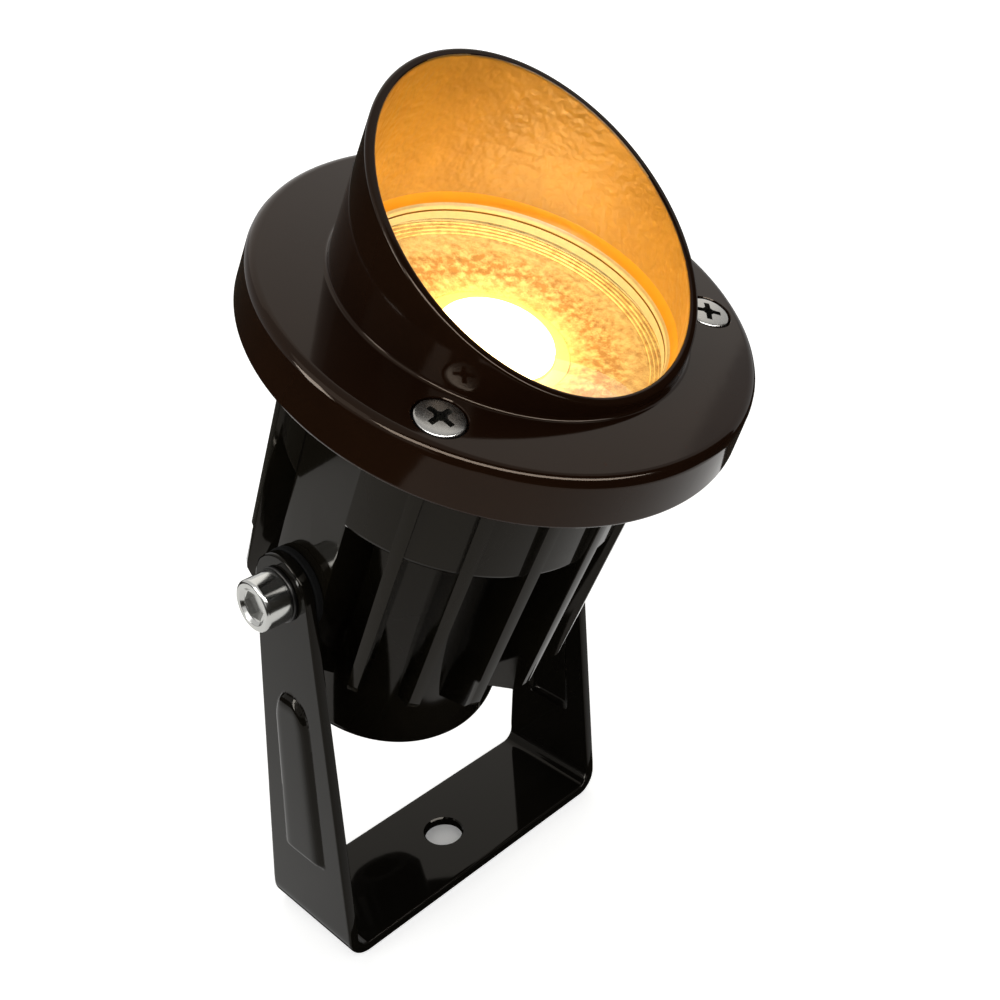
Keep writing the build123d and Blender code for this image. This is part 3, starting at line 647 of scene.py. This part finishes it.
bezel = lathe(bezel_outline, 256)
recess = lathe([(0, SCREW_HOLE_END), (SCREW_HOLE, SCREW_HOLE_END), (SCREW_HOLE, SCREW_SEAT),
                (RECESS_RADIUS, SCREW_SEAT), (RECESS_RADIUS, FLANGE_TOP - RECESS_CHAMFER),
                (RECESS_RADIUS + RECESS_CHAMFER + CLEAR, FLANGE_TOP + CLEAR), (0, FLANGE_TOP + CLEAR)], 64)
recesses = repeated(recess, bronze_enamel, count=SCREW_COUNT, first_angle=SCREW_FIRST, step_angle=SCREW_STEP,
                    circle_radius=SCREW_CIRCLE)
bezel = combine(bezel, recesses, "DIFFERENCE")
# Faces inside the hood take the lighter enamels, painted lamp light, the lightest on the slope at the foot;
# faces by the bead take silicone
for face in bezel.faces:
    spot = face.calc_center_median()
    reach = hypot(spot.x, spot.y)
    inward = -(face.normal.x * spot.x + face.normal.y * spot.y) / reach
    face.material_index = 0
    if spot.z < PLATE_UNDER and reach < LIP_RADIUS + BEAD_WIDTH + 0.1:
        face.material_index = 2
    elif inward > 0 and reach < HOOD_RADIUS and spot.z > PLATE_UNDER:
        if spot.z > BEAD_TOP:
            wall = 1 if spot.z > LIP_TOP else 3
            face.material_index = wall if inward > WALL_FACING else 0
        else:
            face.material_index = 1 if reach > LIP_RADIUS + 0.1 and spot.z < LIP_LOW else 2
piece("bezel_casting", bezel, HEAD, "head", "bezel_paint",
      [bronze_enamel, lamplit_hood_enamel, silicone, lamplit_foot_enamel], "front_bezel")


# Housing: turned core, collar and flange, with cast fins and flat pivot pads

housing = lathe(rounded([
    (GLAND_HOLE, CORE_BOTTOM, 0.3),
    (CORE_RADIUS, CORE_BOTTOM, 2.2),
    (CORE_RADIUS, COLLAR_BOTTOM, 0.6),
    (COLLAR_RADIUS, COLLAR_BOTTOM, 1.2),
    (COLLAR_RADIUS, NECK_LOW, 0.8),
    (SHOULDER_RADIUS, HOUSING_UNDER, 0.4),
    (HOUSING_RIM, HOUSING_UNDER, 0.3),
    (HOUSING_RIM, HOUSING_TOP, 0.3),
    (GASKET_SEAT, HOUSING_TOP, 0.2),
    (GASKET_SEAT, GASKET_FLOOR, 0),
    (DISH_SEAT, GASKET_FLOOR, 0),
    (DISH_SEAT, DISH_FLOOR, 0),
    (LIP_RADIUS, DISH_FLOOR, 0),
    (LIP_RADIUS, WELL_FLOOR, 0),
    (DRIVER_BORE, WELL_FLOOR, 0),
    (DRIVER_BORE, DRIVER_FLOOR, 0),
    (GLAND_HOLE, DRIVER_FLOOR, 0),
]))


def web(outline, top_half, low_half, low, edge):
    """Cast web in the plane of y = 0: an outline of (radius, height), its thickness drawn down to the tip."""
    bm = prism(outline, -1, 1)
    for vert in bm.verts:
        share = (HOUSING_UNDER - vert.co.y) / (HOUSING_UNDER - low)
        vert.co.z *= top_half + (low_half - top_half) * share
    soften(bm, edge, lambda e: all(v.co.x > WEB_ROOT or v.co.y < FIN_SLOPE_TOP and v.co.x > CORE_RADIUS
                                   for v in e.verts) and e.calc_face_angle(0) > SHARP_ANGLE)
    bm.transform(UPRIGHT)
    return bm


fin = web(rounded([
    (WEB_ROOT, HOUSING_UNDER, 0),
    (FIN_REACH, HOUSING_UNDER, 0),
    (FIN_REACH, NECK_LOW, 0),
    (FIN_TIP_REACH, FIN_TIP, TIP_ROUND),
    (FIN_CUT_REACH, FIN_TIP - FIN_CUT_DROP, TIP_ROUND),
    (FIN_ROOT, FIN_FOOT, 0),
    (FIN_ROOT, COLLAR_BOTTOM, 0),
    (WEB_ROOT, COLLAR_BOTTOM + WEB_RISE, 0),
], 3), FIN_HALF_TOP, FIN_HALF_LOW, FIN_LOW, WEB_EDGE)
pad = web(rounded([
    (WEB_ROOT, HOUSING_UNDER, 0),
    (PAD_REACH, HOUSING_UNDER, 0),
    (PAD_REACH, FIN_TIP - PAD_DROP, TIP_ROUND),
    (FIN_ROOT, FIN_FOOT, 0),
    (FIN_ROOT, COLLAR_BOTTOM, 0),
    (WEB_ROOT, COLLAR_BOTTOM + WEB_RISE, 0),
], 3), PAD_HALF_WIDTH, PAD_HALF_WIDTH, FIN_LOW, WEB_EDGE)
past_collar = 36
pad_flat = prism([(PAD_REACH, -PAD_HALF_WIDTH), (past_collar, -PAD_HALF_WIDTH), (past_collar, PAD_HALF_WIDTH),
                  (PAD_REACH, PAD_HALF_WIDTH)], FIN_LOW - 1, NECK_LOW)
bolt_hole = lathe([(0, BOLT_HOLE_START), (BOLT_HOLE, BOLT_HOLE_START), (BOLT_HOLE, BOLT_HOLE_END),
                   (0, BOLT_HOLE_END)], 48)
bolt_hole.transform(SIDEWAYS)
fins = repeated(fin, black_enamel, count=FIN_COUNT, first_angle=FIN_STEP / 2, step_angle=FIN_STEP,
                keep_clear=PAD_SECTOR)
housing = combine(housing, repeated(pad_flat, black_enamel), "DIFFERENCE")
housing = combine(housing, repeated(pad, black_enamel), "UNION")
housing = combine(housing, fins, "UNION")
housing = combine(housing, repeated(bolt_hole, black_enamel), "DIFFERENCE")
piece("finned_housing", housing, HEAD, "head", "housing_paint", [black_enamel], "heat_sink")


# Bracket: one bent strip with tapered round-ended arms and a pressed rib on each

def rib_rise(y, z):
    """Height of the pressed rib at a place on the arm: a flat arch with a round nose at the top."""
    foot, nose = z - RIB_LOW, RIB_HIGH - z
    if foot <= 0 or nose <= 0:
        return 0.0
    half = RIB_FOOT + (RIB_END - RIB_FOOT) * foot / (RIB_HIGH - RIB_LOW)
    half *= sqrt(1 - max(1 - nose / RIB_NOSE, 0) ** 2)
    arch = max(1 - abs(y / half) ** RIB_SQUARENESS, 0)
    ramp = (1 - max(1 - foot / RIB_RAMP, 0) ** 2) * (1 - max(1 - nose / RIB_TIP, 0) ** 2)
    return RIB_RISE * arch * ramp


def stations(low, high, step):
    """Even steps from one value to another, without the first."""
    count = round((high - low) / step)
    return [low + (high - low) * (i + 1) / count for i in range(count)]


# The mesh is finer round the rib than on the plain parts of the arm
PLAIN_STEP, RIB_STEP = 0.9, 0.4
RIB_ZONE = 16, 56
EDGE_COLUMN = 0.06
ACROSS = 60
ARM_FOOT = BASE_MIDDLE + BEND
heights = [ARM_FOOT] + stations(ARM_FOOT, RIB_ZONE[0], PLAIN_STEP)
heights += stations(*RIB_ZONE, RIB_STEP) + stations(RIB_ZONE[1], PIVOT_HEIGHT, PLAIN_STEP)
caps = stations(0, 0.92, 0.07) + [1.0]
inner_columns = [-1 + EDGE_COLUMN + (2 - 2 * EDGE_COLUMN) * i / ACROSS for i in range(ACROSS + 1)]
columns = [-1.0] + inner_columns + [1.0]


def arm_row(side, height, cap):
    """One row across an arm; cap runs from 0 at the pivot to 1 at the round end."""
    row = []
    narrow = max(height - TAPER_START, 0) / (PIVOT_HEIGHT - TAPER_START)
    half = BASE_HALF_DEPTH + (ARM_END - BASE_HALF_DEPTH) * narrow
    for share in columns:
        y = half * share * sqrt(1 - cap * cap / 2)
        z = height + ARM_END * cap * sqrt(1 - share * share / 2)
        row.append((side * ARM_MIDDLE, y, z))
    return row


rows = [arm_row(-1, PIVOT_HEIGHT, cap) for cap in reversed(caps)]
rows += [arm_row(-1, height, 0) for height in reversed(heights)]
corner = ARM_MIDDLE - BEND
turns = stations(0, pi / 2, pi / 24)
for side, angles in ((-1, turns), (1, [pi / 2 - t for t in [0] + turns[:-1]])):
    for angle in angles:
        x = side * (corner + BEND * cos(angle))
        z = BASE_MIDDLE + BEND - BEND * sin(angle)
        rows.append([(x, BASE_HALF_DEPTH * share, z) for share in columns])
    if side < 0:
        for x in stations(-corner, corner, 1.5)[:-1]:
            rows.append([(x, BASE_HALF_DEPTH * share, BASE_MIDDLE) for share in columns])
rows += [arm_row(1, height, 0) for height in heights]
rows += [arm_row(1, PIVOT_HEIGHT, cap) for cap in caps]
bm = bmesh.new()
grid = [[bm.verts.new(spot) for spot in row] for row in rows]
for row, beside in zip(grid, grid[1:]):
    for i in range(len(columns) - 1):
        bm.faces.new((row[i], row[i + 1], beside[i + 1], beside[i]))
bm.normal_update()
strip = as_object("strip", bm)
thick = strip.modifiers.new("thick", "SOLIDIFY")
thick.thickness = PLATE
thick.offset = 0.0
thick.use_even_offset = True
edge = strip.modifiers.new("edge", "BEVEL")
edge.width = EDGE_ROUND
edge.segments = 3
edge.limit_method = "ANGLE"
edge.angle_limit = radians(50)
edge.use_clamp_overlap = False
bracket = settled(strip)
for vert in bracket.verts:
    if abs(vert.co.x) > ARM_MIDDLE - PLATE:
        vert.co.x += copysign(rib_rise(vert.co.y, vert.co.z), vert.co.x)
bmesh.ops.recalc_face_normals(bracket, faces=bracket.faces)
bracket = combine(bracket, hole(BASE_HOLE, 0, PLATE), "DIFFERENCE")
arm_hole = hole(PIVOT_HOLE, ARM_MIDDLE - PLATE / 2, ARM_MIDDLE + PLATE / 2, 0.15)
arm_hole.transform(SIDEWAYS)
arm_holes = repeated(arm_hole, sheet_enamel)
arm_holes.transform(PIVOT)
bracket = combine(bracket, arm_holes, "DIFFERENCE")
piece("bent_bracket", bracket, PART, "bracket", "bracket_paint", [sheet_enamel], "mounting_bracket")


# Pivot bolts and washers, one set on each side

def hexagon(flats, turn=0.0):
    """Corners of a hexagon of this width across flats."""
    reach = flats / 2 / cos(pi / 6)
    return [(reach * cos(turn + i * pi / 3), reach * sin(turn + i * pi / 3)) for i in range(6)]


bolt = lathe(rounded([
    (0, BOLT_END, 0),
    (BOLT_SHANK, BOLT_END, 0.4),
    (BOLT_SHANK, BOLT_SEAT, 0),
    (BOLT_HEAD, BOLT_SEAT, 0.25),
    (BOLT_HEAD, BOLT_TOP, 0.6),
    (SOCKET_MOUTH, BOLT_TOP, 0.12),
    (SOCKET_THROAT, SOCKET_CONE, 0),
    (0, SOCKET_CONE, 0),
]), 96)
bolt = combine(bolt, prism(hexagon(SOCKET_FLATS, pi / 6), SOCKET_FLOOR, BOLT_TOP + 1.5), "DIFFERENCE")
bolt.transform(SIDEWAYS)
piece("socket_bolts", repeated(bolt, stainless), PIVOT, "head", "stainless", [stainless], "pivot_bolts")

bolt_washer = lathe(rounded([
    (PIVOT_HOLE, PLAIN_WASHER_FOOT, 0.1),
    (PLAIN_WASHER, PLAIN_WASHER_FOOT, 0.15),
    (PLAIN_WASHER, BOLT_SEAT, 0.25),
    (PIVOT_HOLE, BOLT_SEAT, 0.1),
]), 96)
bolt_washer.transform(SIDEWAYS)
piece("plain_washers", repeated(bolt_washer, black_steel), PIVOT, "head", "black_steel", [black_steel],
      "bolt_washers")

friction_washer = lathe(rounded([
    (PIVOT_HOLE, PAD_REACH, 0.1),
    (RUBBER_WASHER, PAD_REACH, 0.3),
    (RUBBER_WASHER, RUBBER_WASHER_TOP, 0.3),
    (PIVOT_HOLE, RUBBER_WASHER_TOP, 0.1),
]), 96)
friction_washer.transform(SIDEWAYS)
piece("rubber_washers", repeated(friction_washer, rubber), PIVOT, "head", "black_rubber", [rubber],
      "friction_washers")


# Screws of the bezel: a low domed head with a cross recess

crown = [(SCREW_HEAD * share, SCREW_CROWN - SCREW_DOMING * share * share, 0)
         for share in (0, 0.2, 0.4, 0.6, 0.75, 0.88)]
screw = lathe(rounded(crown + [
    (SCREW_HEAD - 0.24, SCREW_CROWN - 0.25, 0),
    (SCREW_HEAD - 0.1, SCREW_CROWN - 0.33, 0),
    (SCREW_HEAD - 0.03, SCREW_CROWN - 0.45, 0),
    (SCREW_HEAD, SCREW_CROWN - 0.62, 0),
    (SCREW_HEAD, SCREW_SEAT, 0.15),
    (SCREW_SHANK, SCREW_SEAT, 0),
    (SCREW_SHANK, SCREW_END + 0.2, 0.3),
    (0, SCREW_END, 0),
]), 96)
cross = []
for quarter in range(4):
    turn = quarter * pi / 2
    for x, y in ((CROSS_WING, -CROSS_WAIST), (CROSS_WING, CROSS_WAIST),
                 (CROSS_THROAT, CROSS_WAIST), (CROSS_WAIST, CROSS_THROAT)):
        cross.append((x * cos(turn) - y * sin(turn), x * sin(turn) + y * cos(turn)))
screw = combine(screw, prism(cross, CROSS_FLOOR, SCREW_CROWN + 0.35, CROSS_TAPER), "DIFFERENCE")
screws = repeated(screw, tumbled, count=SCREW_COUNT, first_angle=SCREW_FIRST, step_angle=SCREW_STEP,
                  circle_radius=SCREW_CIRCLE, spin=pi)
axes = [Matrix.Rotation(SCREW_FIRST + SCREW_STEP * i, 4, "Z") @ Vector((SCREW_CIRCLE, 0, 0))
        for i in range(SCREW_COUNT)]
# Faces of the crosses take the darker steel: painted shade in the recesses
for face in screws.faces:
    spot = face.calc_center_median()
    aside = min(hypot(spot.x - axis.x, spot.y - axis.y) for axis in axes)
    in_cross = aside < CROSS_WING + 0.1 and SCREW_SEAT + 0.1 < spot.z < SCREW_CROWN - 0.2
    face.material_index = int(in_cross)
piece("cross_screws", screws, HEAD, "head", "stainless", [tumbled, shaded_cross_steel], "bezel_screws")


# Glass, reflector and lamp

glass = lathe(rounded([
    (0, GLASS_UNDER, 0),
    (GLASS_RADIUS, GLASS_UNDER, 0.3),
    (GLASS_RADIUS, GLASS_TOP, 0.3),
    (0, GLASS_TOP, 0),
]))
piece("front_glass", glass, HEAD, "head", "clear_glass", [clear_glass], "lens_glass")

dish = []
for i in range(DISH_STEPS + 1):
    share = i / DISH_STEPS
    dish.append((DISH_MOUTH + (DISH_EDGE - DISH_MOUTH) * share,
                 DISH_LOW + (DISH_HIGH - DISH_LOW) * share + DISH_BULGE * share * (1 - share)))
rings = []
for step in range(RING_STEPS):
    foot = (DISH_EDGE + RING_WIDTH * (step + 1), DISH_HIGH + RING_RISE * step)
    rings += [foot, (foot[0] + RING_DRAFT, foot[1] + RING_RISE)]
rim = [(DISH_RIM, DISH_RIM_TOP), (DISH_RIM, DISH_FLOOR), (DISH_RIM_INNER, DISH_FLOOR)]
under = [(r + DISH_WALL, z - DISH_DEPTH) for r, z in reversed(dish[2:-2])]
neck = [(DISH_NECK, DISH_NECK_TOP), (DISH_NECK, LAMP_UNDER)]
reflector = lathe([(DISH_MOUTH, LAMP_UNDER)] + dish + rings + rim + under + neck)
for vert in reflector.verts:
    if DENT_START < hypot(vert.co.x, vert.co.y) < DENT_END and vert.co.z > DENT_LOW:
        vert.co.z += DENT_DEPTH * noise.noise(vert.co * DENT_PITCH)
reflector.normal_update()
piece("hammered_reflector", reflector, HEAD, "head", "reflector_metal", [hammered], "reflector")

dome = []
for i in range(LAMP_STEPS + 1):
    climb = pi / 2 * i / LAMP_STEPS
    dome.append((LAMP_RADIUS * max(cos(climb), 0) ** LAMP_FULLNESS,
                 LAMP_FOOT + LAMP_RISE * sin(climb) ** LAMP_FULLNESS))
dam = [(0, LAMP_UNDER), (DAM_RADIUS, LAMP_UNDER), (DAM_RADIUS, DAM_TOP), (DAM_INNER, DAM_FOOT)]
lamp = lathe(dam + dome, 128)
for face in lamp.faces:
    face.material_index = int(face.calc_center_median().z < LAMP_FOOT)
piece("lit_lamp", lamp, HEAD, "head", "phosphor", [phosphor, halo_painted_dam_silicone], "led_emitter")


# Cord gland at the back

washer = lathe(rounded([
    (GLAND_HOLE, GLAND_RING_LOW, 0.1),
    (GLAND_RING, GLAND_RING_LOW, 0.3),
    (GLAND_RING, CORE_BOTTOM, 0.3),
    (GLAND_HOLE, CORE_BOTTOM, 0.1),
]), 96)
piece("gland_ring", washer, HEAD, "head", "black_rubber", [rubber], "gland_washer")

hexagon_nut = prism(hexagon(GLAND_FLATS), GLAND_HEX_LOW, GLAND_RING_LOW)
soften(hexagon_nut, 0.4, lambda e: True)
thread = lathe([(GLAND_THREAD, GLAND_THREAD_LOW), (GLAND_THREAD, DRIVER_FLOOR), (GLAND_BORE, DRIVER_FLOOR),
                (GLAND_BORE, GLAND_THREAD_LOW)], 96)
core_low, core_high = GLAND_HEX_LOW - 2, GLAND_RING_LOW + 2
core = lathe([(0, core_low), (SLEEVE_RADIUS, core_low), (SLEEVE_RADIUS, core_high), (0, core_high)], 96)
gland = combine(hexagon_nut, core, "DIFFERENCE")
gland = combine(gland, thread, "UNION")
piece("gland_hexagon", gland, HEAD, "head", "gland_nylon", [nylon], "gland_body")

seal = lathe(rounded([
    (SLEEVE_BORE, SLEEVE_LOW, 0.4),
    (SLEEVE_RADIUS, SLEEVE_LOW, 0.2),
    (SLEEVE_RADIUS, SLEEVE_TOP, 0.2),
    (SLEEVE_BORE, SLEEVE_TOP, 0.4),
]), 96)
piece("gland_sleeve", seal, HEAD, "head", "black_rubber", [rubber], "gland_seal")


def cap_outline(angle):
    """Outline of the gland's cap, its wall dented by finger grooves."""
    groove = CAP_GROOVE_DEPTH * max(cos(CAP_GROOVES * angle), 0) ** 2
    return rounded([
        (GLAND_BORE, CAP_LOW, 0.4),
        (CAP_FACE, CAP_LOW, 0.6),
        (CAP_RADIUS - groove, CAP_SHOULDER, 0.6),
        (CAP_RADIUS - groove, CAP_TOP, 0.3),
        (CAP_BORE, CAP_TOP, 0.2),
        (CAP_BORE, SLEEVE_LOW, 0),
        (GLAND_BORE, SLEEVE_LOW, 0),
    ], 3)


piece("gland_cap", lathe(cap_outline, 240), HEAD, "head", "gland_nylon", [nylon], "gland_nut")


# CAD nodes that stay as they are

for finish, names in (
    (silicone, ["glass_gasket"]),
    (rubber, ["bezel_o_ring"]),
    (white_mask, ["led_board"]),
    (stainless, ["led_board_screws", "led_plate_screws"]),
    (pad_grey, ["thermal_pad"]),
    (machined, ["led_plate"]),
    (lead_silicone, ["led_leads"]),
    (cup_nylon, ["driver_cup"]),
    (green_mask, ["driver_board"]),
    (winding_tape, ["driver_transformer"]),
    (shrink_sleeve, ["driver_capacitors"]),
    (terminal_plastic, ["driver_terminal_block"]),
):
    for name in names:
        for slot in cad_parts[name].material_slots:
            slot.material = finish


# White floor, dark flags, studio lights and world

def background_rays(tree):
    """1 for the rays that show the background: from the camera, from shiny surfaces and through glass."""
    path = add(tree, "ShaderNodeLightPath")
    shown = path.outputs["Is Camera Ray"]
    for kind in ("Is Glossy Ray", "Is Transmission Ray"):
        shown = add(tree, "ShaderNodeMath", {0: shown, 1: path.outputs[kind]}, operation="MAXIMUM").outputs[0]
    return shown


floor_mesh = bmesh.new()
bmesh.ops.create_grid(floor_mesh, x_segments=1, y_segments=1, size=6.0)
floor = as_object("floor", floor_mesh)
floor_finish, tree, shader, place = material("white_paper_sweep")
shader.inputs["Base Color"].default_value = linear("#f4f4f2")
shader.inputs["Roughness"].default_value = 0.9
shader.inputs["Emission Color"].default_value = (1, 1, 1, 1)
distance = add(tree, "ShaderNodeVectorMath", {0: place}, operation="LENGTH").outputs["Value"]
# Under the middle of the base the glow drops: a painted shadow in the base's hole
near_glow_with_painted_shadow = add(tree, "ShaderNodeMapRange", {"Value": distance, "From Min": 4 * MM, "From Max": 12 * MM,
                                        "To Min": GLOW_IN_PAINTED_SHADOW, "To Max": GLOW_AROUND}).outputs["Result"]
glow = add(tree, "ShaderNodeMapRange", {"Value": distance, "From Min": 0.25, "From Max": 1.2, "To Min": near_glow_with_painted_shadow,
                                        "To Max": GLOW_FAR}).outputs["Result"]
lift = add(tree, "ShaderNodeMath", {0: background_rays(tree), 1: glow}, operation="MULTIPLY")
tree.links.new(lift.outputs[0], shader.inputs["Emission Strength"])
floor.data.materials.append(floor_finish)

# Felt and bright cards that only shiny surfaces see: they give the dark stretches and the bright lines
# in the paint
felt, tree, shader, place = material("dark_grey_felt")
shader.inputs["Base Color"].default_value = linear("#3d3b36")
shader.inputs["Roughness"].default_value = 1.0
shader.inputs["Specular IOR Level"].default_value = 0.0
lit_card, tree, shader, place = material("lit_white_card")
shader.inputs["Emission Color"].default_value = (1, 1, 1, 1)
shader.inputs["Emission Strength"].default_value = 23.0


def flag(name, bm, finish):
    """Card of the studio, in millimetres; the camera and the soft light pass through it."""
    bm.transform(Matrix.Scale(MM, 4))
    obj = as_object(name, bm)
    obj.data.materials.append(finish)
    obj.visible_camera = False
    obj.visible_diffuse = False
    obj.visible_transmission = False
    obj.visible_shadow = False


def facing_card(place, aim, width, height):
    """Flat card in millimetres, turned to its aim."""
    bm = bmesh.new()
    bmesh.ops.create_grid(bm, x_segments=1, y_segments=1, size=0.5)
    turn = (Vector(aim) - Vector(place)).to_track_quat("Z", "Y").to_matrix().to_4x4()
    bm.transform(Matrix.Translation(place) @ turn @ Matrix.Diagonal((width, height, 1, 1)))
    return bm


paper_corner = PAPER_HALF_WIDTH * sqrt(2)
surround = lathe([(paper_corner, 1.0), (FELT_REACH, 1.0), (FELT_REACH, 0.5), (paper_corner, 0.5)], 4)
surround.transform(Matrix.Rotation(pi / 4, 4, "Z"))
flag("felt_round_the_paper", surround, felt)
# A dark sheet under the head that only shiny surfaces see: the object's shadow on the floor, painted into
# their reflections
flag("felt_under_the_lamp", prism([(-34, -20), (45, -20), (45, 45), (-34, 45)], 0.1, 0.3), felt)
flag("felt_card_in_front", prism([(-900, -600), (1300, -600), (1300, -590), (-900, -590)], 0, 1300), felt)
flag("card_above_the_camera", facing_card((-150, -430, 450), (0, 0, 100), 1150, 160), lit_card)
flag("card_low_on_the_left", facing_card((-1000, 420, 230), (0, 0, 50), 300, 400), lit_card)


def softbox(name, place, aim, size, power, tint="#ffffff"):
    """Rectangular soft light at a place in metres, turned to its aim."""
    light = bpy.data.lights.new(name, "AREA")
    light.shape = "RECTANGLE"
    light.size, light.size_y = size
    light.energy = power
    light.color = linear(tint)[:3]
    obj = bpy.data.objects.new(name, light)
    bpy.context.collection.objects.link(obj)
    obj.location = place
    obj.rotation_mode = "QUATERNION"
    obj.rotation_quaternion = (Vector(aim) - Vector(place)).to_track_quat("-Z", "Y")
    return obj


softbox("back_softbox", (0.7, 0.8, 1.2), (0, 0, 0.08), (2.0, 1.6), 7.0, "#fffaf0")
softbox("left_softbox", (-1.2, 0.1, 0.9), (0, 0, 0.08), (0.9, 0.9), 4.0)

world = bpy.data.worlds.new("studio")
bpy.context.scene.world = world
world.use_nodes = True
tree = world.node_tree
tree.nodes["Background"].inputs["Color"].default_value = (1, 1, 1, 1)
level = add(tree, "ShaderNodeMapRange", {"Value": background_rays(tree), "To Min": WORLD_FILL, "To Max": 1.0})
tree.links.new(level.outputs["Result"], tree.nodes["Background"].inputs["Strength"])

bpy.context.scene.view_settings.view_transform = "Standard"
